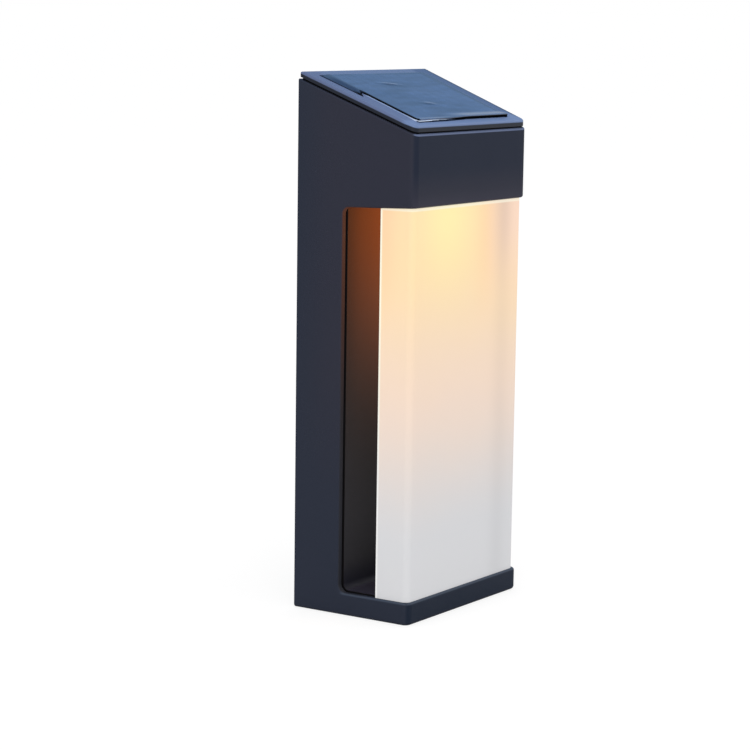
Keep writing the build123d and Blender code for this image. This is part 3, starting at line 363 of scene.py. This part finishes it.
def liner_finish():
    """Inner moulding: satin plastic, with a painted glow standing for the warm light that falls on it from
    the head and fades at its edges, its colour darker and warmer towards the top under that glow. Painted
    shade darkens it above its floor and in the gap of the seam beside the housing."""
    finish = new_finish("lit_liner")
    x, y, z = finish.axes()
    side = abs(x)
    fine = finish.noise(0.28 * MM)
    flow = finish.noise(26 * MM, rough=0.5, stretch=(1.0, 1.0, 3.0))
    tone = vary(0.5, (flow, 0.8), (fine, 0.4))

    front = y.rise(-13 * MM, -18 * MM)
    fall = z.rise(-75 * MM, 52 * MM)
    middle = 0.38 + 0.62 * side.rise(38 * MM, 24 * MM) + 0.40 * side.rise(27 * MM, 14 * MM)
    # Painted shade: near-black in the gap of the seam beside the housing.
    seam = from_side(side, y).rise(3.10 * MM, 2.95 * MM)
    # Painted light from the head: strongest at the top and in the middle, fading at the edges and off the
    # seam.
    glow = front * fall * fall * fall * middle * (1 - seam)
    # Painted shade on the lower wall, darkest just above the floor.
    shade_above_floor = z.rise(FLOOR_LEVEL + 12 * MM, FLOOR_LEVEL + 2 * MM)
    on_floor = z.rise(FLOOR_LEVEL + 0.3 * MM, FLOOR_LEVEL + 0.1 * MM)

    low = finish.layered(
        finish.mix(tone, (0.0255, 0.0243, 0.0280), (0.0335, 0.0322, 0.0364)),
        (shade_above_floor, (0.0140, 0.0140, 0.0215)),
        (on_floor, (0.0300, 0.0285, 0.0440)),
    )
    # Darker and warmer towards the top: part of the painted warm light.
    high = finish.mix(tone, (0.010, 0.0065, 0.0040), (0.014, 0.0090, 0.0055))
    warm = finish.mix(fall, (0.24, 0.095, 0.052), (0.150, 0.025, 0.0025))
    return finish.surface(
        Base_Color=finish.layered(low, (fall, high), (seam, SEAM_SHADE)),
        Roughness=vary(0.46, (fine, 0.14)),
        Specular_IOR_Level=0.14,
        Emission_Color=finish.scaled(warm, glow),
        Emission_Strength=1.0,
        Normal=finish.bump(fine, 0.03 * MM),
    )


def diffuser_finish():
    """Frosted sheet with the LEDs' light painted into its colour and emission: warm and bright under the
    head, cool white lower down, with a painted bright spot by the LEDs, painted warm light on its sides, a
    dimmer band of painted shade beside its right fold and bright cut edges that are painted highlights."""
    finish = new_finish("frosted_diffuser")
    x, y, z = finish.axes()
    frost = finish.noise(0.22 * MM, detail=2.0)
    cloud = finish.noise(30 * MM, detail=2.0, rough=0.5)
    level = vary(z, (cloud, 6 * MM))

    # Painted warm light on the side returns and the right of the front, stronger higher up.
    beside = y.rise(-45 * MM, -36 * MM) + x.rise(0.0, 15 * MM) * y.rise(-46 * MM, -48 * MM)
    beside = beside * z.rise(5 * MM, 50 * MM) * 0.8
    side_warm_light = finish.mix(x.rise(8 * MM, 26 * MM), (0.985, 0.650, 0.395), (0.970, 0.705, 0.575))
    spot = x.bell(-14 * MM, 18 * MM) * z.bell(56 * MM, 26 * MM) * y.rise(-47.0 * MM, -48.8 * MM)
    # Painted shade: a dimmer band beside the right fold.
    fold = x.bell(23.5 * MM, 5.5 * MM) * y.rise(-44 * MM, -47 * MM)
    # Painted highlights on the rear and top cut edges.
    rear_edge = y.rise(DIFFUSER_REAR - 1.30 * MM, DIFFUSER_REAR - 0.75 * MM)
    top_edge = z.rise(WINDOW_HIGH - 1.5 * MM, WINDOW_HIGH - 0.9 * MM) * 0.7
    edge = finish.mix(z.rise(-60 * MM, 20 * MM), (0.86, 0.86, 0.85), (1.0, 0.95, 0.77))

    # Painted light: warm and bright near the head, cool white lower down.
    body = finish.layered(
        (0.660, 0.665, 0.682),
        (level.rise(-70 * MM, -8 * MM), (0.880, 0.695, 0.565)),
        (level.rise(-22 * MM, 42 * MM), (0.990, 0.735, 0.430)),
        (beside, side_warm_light),
        (spot, (1.0, 0.870, 0.430)),
    )
    body = finish.scaled(body, 1.0 - fold * (0.07 + 0.10 * z.rise(15 * MM, 52 * MM)))
    body = finish.mix(rear_edge.most(top_edge), body, edge)
    lit = 0.30 + 0.28 * level.rise(-60 * MM, 50 * MM)
    return finish.surface(
        Base_Color=finish.scaled(body, 1.0 - lit),
        Roughness=vary(0.50, (frost, 0.20)),
        Specular_IOR_Level=0.30,
        Emission_Color=finish.scaled(body, lit),
        Emission_Strength=1.0,
        Normal=finish.bump(frost, 0.02 * MM),
    )


def panel_finish():
    """Clear resin sheet over dark blue cells: the gaps between the cells, their fine lines, a darker, duller
    margin at the rear left, black cut edges that are partly their own dark side and partly painted shade of
    the gap beside them and under the curl, and the streaks and low waves of poured resin."""
    finish = new_finish("solar_panel")
    x = finish.axes()[0]
    down = finish.slope()[0]
    wall = finish.marked()
    cloud = finish.noise(14 * MM, rough=0.55, stretch=(2.2, 1.0, 1.0))
    wave = finish.noise(9 * MM, detail=2.0, rough=0.5, stretch=(2.6, 1.0, 1.0))
    streak = finish.noise(2.6 * MM, stretch=(5.0, 1.0, 1.0))

    cell_low, cell_high = (corner[0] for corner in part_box("solar_cells"))
    cell_pitch = (cell_high - cell_low + CELL_GAP) / CELL_COUNT
    gap = (x - cell_low).cycle(cell_pitch).band(0.905, 0.925, 0.985, 1.0)
    line = down.cycle(FINGER_PITCH).rise(*FINGER_LINE)
    off_cells = 1 - x.band(cell_low - 0.6 * MM, cell_low, cell_high, cell_high + 0.6 * MM)
    margin = x.rise(-27.6 * MM, -30.4 * MM) * down.band(5 * MM, 12 * MM, 24.5 * MM, 26.5 * MM)

    tone = vary(0.42, (cloud, 1.6), (streak, 2.1))
    deep = finish.layered(
        finish.mix(tone, (0.002, 0.010, 0.036), (0.028, 0.060, 0.155)),
        (line * 0.20, (0.10, 0.15, 0.24)),
        (gap * 0.85, (0.003, 0.007, 0.018)),
        (off_cells, (0.004, 0.009, 0.024)),
    )
    sheet = finish.shader(
        Base_Color=deep,
        Roughness=0.10 + 0.10 * cloud,
        Specular_IOR_Level=0.5,
        Normal=finish.bump(wave * 0.7 + streak * 0.3, 0.13 * MM, 0.6),
    )
    # Black cut edge: partly the sheet's own dark side, partly painted shade of the gap beside it and under
    # the curl.
    dark = finish.mix(wall.rise(0.4, 1.0), (0.012, 0.032, 0.090), (0.0012, 0.0012, 0.0020))
    return finish.edged(wall.most(margin * 0.58), sheet, dark, cloud)


def cover_finish():
    """Top cover: satin moulding, with a painted reflection of the sky making its upper face paler and bluer,
    and painted shade making its edges dark. The upper face is darker at its rear, on its side borders and
    along its right rim, and it has a fine line beside the panel's left."""
    finish = new_finish("satin_cover")
    x, y, _ = finish.axes()
    down, out = finish.slope()
    fine = finish.noise(0.24 * MM)
    flow = finish.noise(22 * MM, rough=0.5, stretch=(2.0, 1.0, 1.0))
    tone = vary(0.5, (flow, 0.8), (fine, 0.4))

    line = abs(x + 31.4 * MM).rise(0.22 * MM, 0.10 * MM) * down.band(23 * MM, 24 * MM, 49.8 * MM, 50.2 * MM)
    # Darker painted reflection on the side borders and along the right rim.
    left = x.rise(-28 * MM, -32 * MM) * down.rise(49 * MM, 46 * MM)
    right = x.rise(27 * MM, 31 * MM) * down.rise(49 * MM, 42 * MM)
    rim = from_side(x, y).rise(3.0 * MM, 1.6 * MM) * down.rise(51 * MM, 46 * MM)
    behind = down.rise(51 * MM, 48 * MM)
    on_top = (out + behind * (0.20 * MM)).rise(-0.85 * MM, -0.50 * MM)

    # Painted shade on the edges, and a painted reflection of the sky on the upper face, dimmed towards the
    # rear.
    edge = finish.mix(tone, (0.0030, 0.0055, 0.0125), (0.0055, 0.0085, 0.0175))
    upper = finish.mix(tone, (0.118, 0.178, 0.335), (0.150, 0.218, 0.395))
    upper = finish.layered(
        finish.scaled(upper, 0.78),
        (down.rise(8 * MM, 46 * MM), upper),
        (line * 0.7, (0.030, 0.060, 0.170)),
        (left * 0.65, (0.088, 0.112, 0.215)),
        (right * 0.9, (0.046, 0.086, 0.190)),
        (rim * 0.8, (0.012, 0.028, 0.062)),
    )
    return finish.surface(
        Base_Color=finish.mix(on_top, edge, upper),
        Roughness=vary(0.42, (fine, 0.14)),
        Specular_IOR_Level=0.3,
        Normal=finish.bump(fine, 0.03 * MM),
    )


def glow_lens_finish():
    """Clear window with fine prisms, bright from the LEDs behind it."""
    finish = new_finish("lit_lens")
    prism_pitch, led_pitch = 1.2 * MM, 4.6 * MM
    x = finish.axes()[0]
    ridge = abs(x.cycle(prism_pitch) - 0.5) * 2
    spot = x.cycle(led_pitch).bell(0.5, 0.30)
    return finish.surface(
        Base_Color=finish.mix(ridge, (0.80, 0.76, 0.66), (0.90, 0.88, 0.82)),
        Roughness=0.12 + 0.10 * ridge,
        Emission_Color=finish.mix(spot, (0.75, 0.48, 0.20), (1.0, 0.86, 0.52)),
        Emission_Strength=1.0,
        Normal=finish.bump(ridge, 0.15 * MM),
    )


def bright_metal(name, dark, light, rough, scratch_size):
    """Plated metal: fine scratches along one way and cloudy tarnish."""
    finish = new_finish(name)
    scratch = finish.noise(scratch_size, detail=2.0, stretch=(0.15, 1.0, 1.0))
    return finish.surface(
        Base_Color=finish.mix(finish.noise(1.5 * MM), dark, light),
        Metallic=1.0,
        Roughness=vary(rough, (scratch, 0.2)),
        Normal=finish.bump(scratch, 0.01 * MM),
    )


def circuit_finish(name, mask, copper):
    """Circuit board: solder mask over raised tracks, with plated pads here and there."""
    finish = new_finish(name)
    track_pitch = 3.1 * MM
    sockets = {"Vector": finish.point(), "Scale": 1.0 / track_pitch, "Mortar Size": 0.06}
    track = finish.add("ShaderNodeTexBrick", None, sockets, out="Fac")
    pad = finish.pits(2.4 * MM).rise(0.16, 0.10)
    cloud = finish.noise(6 * MM, rough=0.5)
    bright_mask = tuple(min(1.0, part * 1.9) for part in mask)
    tone = finish.mix(track * 0.5 + cloud * 0.3, mask, bright_mask)
    return finish.surface(
        Base_Color=finish.mix(pad, tone, copper),
        Roughness=0.36 + cloud * 0.10,
        Normal=finish.bump(track, 0.03 * MM),
    )


def cell_strip_finish():
    """Silicon strips with thin silver fingers."""
    finish = new_finish("silicon_strips")
    line = finish.axes()[1].cycle(FINGER_PITCH).rise(*FINGER_LINE)
    cloud = finish.noise(5 * MM)
    deep = finish.mix(cloud, (0.010, 0.026, 0.080), (0.022, 0.050, 0.140))
    return finish.surface(
        Base_Color=finish.mix(line, deep, (0.45, 0.47, 0.50)),
        Roughness=0.22 + cloud * 0.10,
    )


def led_finish():
    """Phosphor in a white package, lit."""
    finish = new_finish("lit_phosphor")
    cloud = finish.noise(0.5 * MM, detail=2.0, rough=0.5)
    return finish.surface(
        Base_Color=finish.mix(cloud, (0.95, 0.66, 0.18), (1.0, 0.78, 0.30)),
        Roughness=0.45,
        Emission_Color=finish.mix(cloud, (1.0, 0.70, 0.30), (1.0, 0.82, 0.45)),
        Emission_Strength=1.5,
    )


def sleeve_finish():
    """Shrink sleeve on the cell: glossy film with a lengthwise seam and shrink wrinkles at the ends."""
    finish = new_finish("cell_sleeve")
    x, _, z = finish.axes()
    seam = z.bell(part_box("battery_cell")[0][2], 0.6 * MM)
    wrinkle = finish.noise(1.8 * MM, stretch=(3.0, 1.0, 1.0)) * abs(x).rise(18 * MM, 25 * MM)
    return finish.surface(
        Base_Color=finish.mix(seam, (0.025, 0.13, 0.36), (0.04, 0.20, 0.48)),
        Roughness=0.24 + wrinkle * 0.2,
        Normal=finish.bump(wrinkle, 0.2 * MM),
    )


def bead_finish():
    """Clear sealing bead beside the panel: glossy, a little cloudy, with a pale blue cast of painted
    reflection that is a brighter painted highlight in front of the panel, and a dark foot of painted shadow."""
    finish = new_finish("clear_bead")
    cloud = finish.noise(2.5 * MM)
    ahead = finish.slope()[0].rise(44 * MM, 48.5 * MM)
    # Painted reflection, pale blue, and a brighter painted highlight in front of the panel.
    pale = finish.mix(cloud, (0.15, 0.23, 0.42), (0.27, 0.36, 0.56))
    bright = finish.mix(cloud, (0.50, 0.60, 0.82), (0.75, 0.83, 0.95))
    bead = finish.shader(
        Base_Color=finish.mix(ahead, pale, bright),
        Roughness=0.16 + cloud * 0.10,
        Specular_IOR_Level=0.6,
        Normal=finish.bump(cloud, 0.05 * MM),
    )
    # Painted shadow on the dark foot.
    dark = finish.mix(cloud, (0.002, 0.006, 0.018), (0.004, 0.010, 0.026))
    return finish.edged(finish.marked(), bead, dark, cloud)


def ease(value, low, high):
    """0 below low, 1 above high, with a smooth step between; high may be the smaller."""
    share = np.clip((value - low) / (high - low), 0.0, 1.0)
    return share * share * (3 - 2 * share)


def between(value, start, full, fade, end):
    """1 from full to fade, with a smooth step down to 0 at start and at end."""
    return ease(value, start, full) * ease(value, end, fade)


def on_slope(across, down, out):
    """Points on the top's slope from their place across it, down it and out of it."""
    axes = np.array([(1.0, 0.0, 0.0), tuple(SLOPE_DOWN), tuple(SLOPE_OUT)])
    return np.array(SLOPE_TOP) + np.stack([across, down, out], -1) @ axes


def panel_path(outset):
    """The clear sheet's stepped outline moved out by outset, as points (x, distance down the slope).
    Each corner moves along the sum of its two edges' normals over one plus their dot product; the closed
    outline is then read at even steps and averaged with its neighbours, which eases its corners."""
    rear = REAR_BORDER + CLEARANCE
    front = DEPTH / math.cos(SLOPE_ANGLE) - FRONT_BORDER - CLEARANCE
    stations = np.array([rear, STEP_AT, STEP_AT - STEP_SLANT, front, front, rear])
    width_stations = np.array([rear, STEP_AT, STEP_AT, STEP_AT, front, rear])
    half = HALF_BACK - width_stations * math.cos(SLOPE_ANGLE) * SIDE_TAPER
    left, right = LEFT_BORDER + CLEARANCE - half, half - RIGHT_BORDER - CLEARANCE
    left[2:4] += STEP_IN
    corners = np.column_stack([np.concatenate([left[:4], right[4:]]), stations])
    edges = np.roll(corners, -1, 0) - corners
    normals = np.column_stack([-edges[:, 1], edges[:, 0]]) / np.linalg.norm(edges, axis=1)[:, None]
    before = np.roll(normals, 1, 0)
    corners = corners + outset * (before + normals) / (1 + (before * normals).sum(1))[:, None]
    closed = np.vstack([corners, corners[:1]])
    run = np.concatenate([[0.0], np.cumsum(np.linalg.norm(np.diff(closed, axis=0), axis=1))])
    place = np.linspace(0.0, run[-1], OUTLINE_POINTS, endpoint=False)
    path = np.column_stack([np.interp(place, run, closed[:, axis]) for axis in (0, 1)])
    return sum(np.roll(path, shift, 0) for shift in (-1, 0, 1)) / 3


def grid_faces(rows, columns):
    """Quads of a grid of points whose columns join up."""
    row = np.arange(rows - 1)[:, None] * columns
    column = np.arange(columns)[None, :]
    after = (column + 1) % columns
    corners = (row + column, row + after, row + columns + after, row + columns + column)
    return np.stack(corners, -1).reshape(-1, 4)


def fan_faces(ring, tip):
    """Triangles that join a closed ring of points to a tip."""
    return np.column_stack([ring, np.roll(ring, -1), np.full(len(ring), tip)])


def add_piece(name, rows, ends, marks, material):
    """Closed smooth-shaded piece of the clear sheet, riding on the lamp: rows of points that close on
    themselves, drawn together to one end point before the first row and one after the last. The marks say
    where its dark edge lies."""
    count, columns = rows.shape[:2]
    ring = np.arange(columns)
    first_end, last_end = count * columns, count * columns + 1
    faces = grid_faces(count, columns).tolist()
    faces += fan_faces(ring[::-1], first_end).tolist()
    faces += fan_faces(ring + (count - 1) * columns, last_end).tolist()
    mesh = bpy.data.meshes.new(name)
    mesh.from_pydata(np.vstack([rows.reshape(-1, 3), ends]).tolist(), [], faces)
    mesh.polygons.foreach_set("use_smooth", np.ones(len(mesh.polygons), bool))
    mesh.materials.append(material)
    wall = np.concatenate([marks.ravel(), np.zeros(len(ends))]).astype(np.float32)
    mesh.attributes.new("wall", "FLOAT", "POINT").data.foreach_set("value", wall)
    piece = bpy.data.objects.new(name, mesh)
    bpy.context.scene.collection.objects.link(piece)
    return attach(piece, "lamp")


def hook_shift(x, down):
    """How far the sheet's hooked step leans back up the slope: most just past the step's inner corner, less
    with distance from there."""
    start, crest, end = -32.9 * MM, -28.9 * MM, -10.0 * MM
    most = (crest - start) * STEP_SLANT / STEP_IN
    lean = np.interp(x, (start, crest, end), (0.0, most, 0.0))
    return lean * between(down, 6 * MM, 20 * MM, 28 * MM, 46 * MM)


def draw_in(outline, centre, shrink):
    """Rings from the outline in towards a centre. The hooked step is first leaned forward until it is square,
    so that every ring lies inside the one before, and leaned back afterwards by repeated trial."""
    trials = 40
    x, down = outline.T
    square = np.column_stack([x, down + hook_shift(x, down)])
    rings = centre + (square - centre) * (1 - shrink[:, None, None])
    x, down = rings[..., 0], rings[..., 1]
    leaned = down
    for _ in range(trials):
        leaned = down - hook_shift(x, leaned)
    return np.stack([x, leaned], -1)


def sheet_lift(x, down):
    """How far the sheet's upper face is lifted towards its edges: a curl along the right of its front edge, a
    low ridge along the left of it, and a bend down over the darker margin at its rear left. Each is a height
    times a smooth step across the slope and another down it."""
    curl = 0.68 * MM * ease(x, -14 * MM, 4 * MM) * ease(down, 43.6 * MM, 48.9 * MM)
    ridge = 0.20 * MM * between(x, -29.5 * MM, -27 * MM, -14 * MM, 0.0) * ease(down, 46.6 * MM, 48.2 * MM)
    bend = 0.26 * MM * ease(x - 0.055 * down, -29.2 * MM, -34.6 * MM) * ease(down, 27 * MM, 25 * MM)
    return curl + ridge - bend


def sheet_waves(x, down):
    """Low waves in the sheet's upper face, a wandering sine across the slope times a sine down it, and two
    ripples, each a bell that is long across the slope and short down it."""
    waves = np.sin(x / (9 * MM) + 1.4 * np.sin(down / (7 * MM))) * np.sin(down / (5.2 * MM) + 0.6)
    height = waves * 0.024 * MM
    for ripple_x, ripple_down, reach in ((-3.8 * MM, 16.1 * MM, 4.2 * MM), (-3.6 * MM, 34.8 * MM, 3.0 * MM)):
        across = (x - ripple_x) / reach
        along = (down - ripple_down - 0.22 * (x - ripple_x)) / (0.9 * MM)
        height += 0.22 * MM * np.exp(-across ** 2 - along ** 2)
    return height


def sheet_marks(outline, row):
    """Where the sheet shows a dark cut edge, partly its own dark side and partly painted shade of the gap
    beside it
    and under the curl: on the first rows from its foot, along its left and along the right of its front."""
    x, down = outline.T
    by_left = (x < -28.6 * MM) * (0.7 + 0.3 * ease(down, 20 * MM, 24 * MM))
    by_front = (down > 47.8 * MM) * ease(x, -14 * MM, -6 * MM)
    left_rows = np.where(down > 21 * MM, 14, 12)
    front_rows = 5
    return np.maximum(by_left * (row < left_rows), by_front * (row < front_rows))


def build_panel_sheet(material):
    """Clear sheet: the outline carried up its wall, round its upper edge by a quarter circle, then drawn in
    towards one point, above and below. The upper face takes the lift near its edges, and its waves inside
    them."""
    underside, upper_face, round_off = -0.2 * MM, 0.4 * MM, 0.34 * MM
    corner_steps, ring_steps = 9, 60
    centre = np.array([0.0, 17.0 * MM])
    turn = np.linspace(0.0, math.pi / 2, corner_steps)
    shrink = np.linspace(0.0, 1.0, ring_steps)[1:-1] ** 1.3
    insets = np.concatenate([[0.0], round_off * (1 - np.cos(turn))])
    rim = np.stack([panel_path(-inset) for inset in insets])
    below = draw_in(rim[0], centre, shrink[::-1])
    inner = draw_in(rim[-1], centre, shrink)
    plan = np.concatenate([below, rim, inner])
    x, down = plan[..., 0], plan[..., 1]
    row = np.arange(len(plan))[:, None] - len(below)

    corner = upper_face - round_off + round_off * np.sin(turn)
    flat = [np.full(len(below) + 1, underside), corner, np.full(len(inner), upper_face)]
    waves_set_in = np.minimum(1.0, shrink * 9)
    inside = np.concatenate([np.zeros(len(below) + len(rim)), waves_set_in])
    level = np.concatenate(flat)[:, None] + (row > 0) * sheet_lift(x, down)
    level = level + inside[:, None] * sheet_waves(x, down)
    ends = on_slope(np.full(2, centre[0]), np.full(2, centre[1]), np.array([underside, upper_face]))
    sheet = add_piece("panel_sheet", on_slope(x, down, level), ends, sheet_marks(rim[0], row), material)
    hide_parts("solar_sheet")


def build_panel_bead(material):
    """Low bead of resin along the sheet's stepped edge and the left of its front edge: an ellipse carried
    along that part of the outline, thinning out to a point at both ends and sunk a little into the cover. In
    front of the sheet it is wider and higher, with a dark foot of painted shadow that widens towards the
    right."""
    sunk, ring_points = -0.02 * MM, 24
    middle = panel_path(0.62 * MM)
    x, down = middle.T
    beside = np.flatnonzero((down > 22.0 * MM) & (x > -30.6 * MM) & (x < 3 * MM))
    x, down = middle[beside].T
    along = np.linspace(0.0, 1.0, len(beside))
    full = np.minimum(ease(along, 0.0, 0.06), ease(along, 1.0, 0.72))
    ahead = ease(down, 47.6 * MM, 48.8 * MM)
    wobble = 1 + 0.15 * np.sin(down / (1.7 * MM)) * np.sin(x / (2.3 * MM) + 1.0)
    height = (0.28 + 0.20 * ahead) * MM * full * wobble
    near = panel_path(0.34 * MM)[beside] - np.outer(ahead, (0.0, 0.45 * MM))
    far = panel_path(0.95 * MM)[beside] + np.outer(ahead, (0.0, 0.12 * MM))

    turn = np.linspace(2 * math.pi, 0.0, ring_points, endpoint=False)[:, None]
    share = 0.5 + 0.5 * np.cos(turn) * full
    plan = near + (far - near) * share[..., None]
    rings = on_slope(plan[..., 0], plan[..., 1], np.sin(turn) * height + sunk).swapaxes(0, 1)
    ends = on_slope(*((near + far) / 2)[[0, -1]].T, np.full(2, sunk))
    # Where the bead's dark foot of painted shadow lies.
    foot = (np.cos(turn) > np.interp(x, (-24 * MM, -5 * MM), (0.6, -0.35))) * ahead
    add_piece("panel_bead", rings[1:-1], ends, foot.T[1:-1], material)


def dress_frame():
    """Give every carried-over piece its finish."""
    steel = bright_metal(
        "zinc_steel", (0.36, 0.37, 0.40), (0.58, 0.58, 0.57), rough=0.34, scratch_size=0.2 * MM
    )
    soft = moulding("soft_seal", (0.008, 0.008, 0.009), (0.016, 0.016, 0.017), grain=0.4 * MM, rough=0.72)
    red = moulding("red_lead", (0.42, 0.012, 0.012), (0.60, 0.022, 0.020), rough=0.40, specular=0.5)
    black = moulding("black_lead", (0.010, 0.010, 0.011), (0.020, 0.020, 0.022), rough=0.40, specular=0.5)
    chip = moulding("chip_case", (0.014, 0.014, 0.015), (0.028, 0.028, 0.029), grain=0.2 * MM, rough=0.6)
    finishes = {
        "housing": shell_finish(),
        "inner_liner": liner_finish(),
        "diffuser": diffuser_finish(),
        "rear_cover": moulding(
            "dark_rear", (0.016, 0.0175, 0.027), (0.024, 0.0255, 0.038), depth=0.06 * MM, rough=0.60
        ),
        "rear_cover_seal": soft,
        "top_cover": cover_finish(),
        "top_cover_seal": moulding(
            "shaded_seal", (0.0020, 0.0018, 0.0024), (0.0040, 0.0036, 0.0046),
            grain=0.4 * MM, rough=0.80, specular=0.06,
        ),
        "solar_sheet": panel_finish(),
        "solar_cells": cell_strip_finish(),
        "solar_board": circuit_finish("solar_backing", mask=(0.012, 0.022, 0.05), copper=(0.55, 0.50, 0.42)),
        "solar_tape": moulding(
            "foam_tape", (0.03, 0.03, 0.03), (0.07, 0.07, 0.07), grain=0.6 * MM, depth=0.15 * MM, rough=0.85
        ),
        "led_lens": glow_lens_finish(),
        "led_lens_seal": soft,
        "led_board": circuit_finish("white_board", mask=(0.72, 0.72, 0.70), copper=(0.75, 0.70, 0.60)),
        "leds": led_finish(),
        "battery_cell": sleeve_finish(),
        "battery_tabs": bright_metal(
            "nickel_strip", (0.46, 0.44, 0.40), (0.62, 0.60, 0.55), rough=0.30, scratch_size=0.3 * MM
        ),
        "battery_strap": moulding(
            "strap_nylon", (0.02, 0.02, 0.022), (0.04, 0.04, 0.043), grain=0.4 * MM, depth=0.03 * MM
        ),
        "control_board": circuit_finish("green_board", mask=(0.010, 0.085, 0.030), copper=(0.62, 0.55, 0.36)),
        "charge_chip": chip,
        "charge_inductor": moulding(
            "ferrite", (0.05, 0.05, 0.053), (0.10, 0.10, 0.105), grain=0.3 * MM, depth=0.05 * MM, rough=0.65
        ),
        "board_capacitor": bright_metal(
            "capacitor_can", (0.48, 0.49, 0.52), (0.66, 0.66, 0.67), rough=0.28, scratch_size=0.3 * MM
        ),
        "board_resistors": chip,
        "lead_connectors": moulding("ivory_socket", (0.66, 0.62, 0.52), (0.80, 0.77, 0.68)),
        "switch_body": chip,
        "switch_plunger": moulding("white_plunger", (0.68, 0.68, 0.66), (0.80, 0.80, 0.78), rough=0.4),
        "push_button": moulding(
            "button_rubber", (0.030, 0.033, 0.040), (0.052, 0.056, 0.066),
            grain=0.3 * MM, depth=0.03 * MM, rough=0.66,
        ),
        "button_washer": soft,
    }
    shared = {"screws": steel, "red": red, "black": black}
    for name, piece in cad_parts.items():
        material = finishes.get(name) or shared[name.split("_")[-1]]
        for slot in piece.material_slots:
            slot.material = material


def build_world():
    """Even soft studio light, plain white to the camera. Gloss shows a pale horizon, a blue sky above it, a
    white ceiling and a brighter card to the right."""
    world = bpy.data.worlds.new("studio")
    bpy.context.scene.world = world
    finish = Finish(world)
    way = finish.add("ShaderNodeTexCoord", out="Generated")
    height = finish.add("ShaderNodeSeparateXYZ", None, {0: way}, out="Z")
    card = finish.along(way, Vector((0.80, -0.30, 0.52)).normalized())
    reflected = finish.layered(
        (0.80, 0.82, 0.86),
        (height.rise(0.02, 0.42), (0.30, 0.52, 0.90)),
        (height.rise(0.72, 0.95), (0.95, 0.98, 1.05)),
        (card.rise(0.86, 0.97), (1.35, 1.38, 1.45)),
    )
    gloss = finish.add("ShaderNodeLightPath", out="Is Glossy Ray")
    camera = finish.add("ShaderNodeLightPath", out="Is Camera Ray")
    seen = finish.layered((0.84, 0.84, 0.85), (gloss, reflected), (camera, WHITE))
    light = finish.add("ShaderNodeBackground", None, {"Color": seen, "Strength": 1.0})
    finish.add("ShaderNodeOutputWorld", None, {"Surface": light})


def build_floor():
    """Wide pale floor just under the base. To the camera it is mostly plain white, which leaves a faint soft
    shadow."""
    reach = 80.0
    level = BOTTOM - 0.05 * MM
    corners = [(x * reach, y * reach, level) for x, y in ((-1, -1), (1, -1), (1, 1), (-1, 1))]
    mesh = bpy.data.meshes.new("floor")
    mesh.from_pydata(corners, [], [(0, 1, 2, 3)])
    floor = bpy.data.objects.new("floor", mesh)
    bpy.context.scene.collection.objects.link(floor)
    finish = new_finish("pale_floor")
    plain = finish.add("ShaderNodeBsdfDiffuse", None, {"Color": (0.86, 0.86, 0.86)})
    white = finish.add("ShaderNodeEmission", None, {"Color": WHITE, "Strength": 1.12})
    rays = finish.add("ShaderNodeLightPath", out="Is Camera Ray")
    both = finish.add("ShaderNodeMixShader", None, {0: rays * 0.70, 1: plain, 2: white})
    mesh.materials.append(finish.output(both))


def area_lamp(name, place, target, size, power, colour):
    """Round lamp of a size at a place, turned towards a target."""
    data = bpy.data.lights.new(name, "AREA")
    data.shape = "DISK"
    data.size = size
    data.energy = power
    data.color = colour
    lamp = bpy.data.objects.new(name, data)
    lamp.location = place
    lamp.rotation_euler = (Vector(target) - Vector(place)).to_track_quat("-Z", "Y").to_euler()
    bpy.context.scene.collection.objects.link(lamp)


def build_lamps():
    """A large soft key from the front left and a small warm lamp under the LED window."""
    place, target = (-1.0, -0.75, 0.75), (0.0, -0.02, 0.0)
    area_lamp("key", place, target, size=0.9, power=6.5, colour=(1.0, 0.98, 0.95))
    low, high = (Vector(corner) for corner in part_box("led_lens"))
    middle = (low + high) / 2
    under = Vector((middle.x, middle.y, low.z - 0.4 * MM))
    straight_down = under - Vector((0.0, 0.0, 1.0))
    area_lamp("led_light", under, straight_down, size=8 * MM, power=0.006, colour=(1.0, 0.58, 0.24))


def build_camera():
    """Camera fitted to the photograph's edges, with its focal length measured in the image's pixels."""
    image_pixels, focal_pixels = 750.0, 2327.6
    place = Vector((-715.0, -520.5, 126.1)) * MM
    ahead = Vector((0.80242, 0.57595, -0.15621)).normalized()
    up = Vector((0.11883, 0.10280, 0.98758))
    right = ahead.cross(up).normalized()
    up = right.cross(ahead)
    data = bpy.data.cameras.new("camera")
    data.sensor_width = 36.0
    data.lens = focal_pixels / image_pixels * data.sensor_width
    camera = bpy.data.objects.new("camera", data)
    turn = Matrix((right, up, -ahead)).transposed().to_4x4()
    camera.matrix_world = Matrix.Translation(place) @ turn
    bpy.context.scene.collection.objects.link(camera)
    bpy.context.scene.camera = camera


dress_frame()
build_panel_sheet(bpy.data.materials["solar_panel"])
build_panel_bead(bead_finish())
build_world()
build_floor()
build_lamps()
build_camera()
bpy.context.scene.view_settings.view_transform = "Standard"
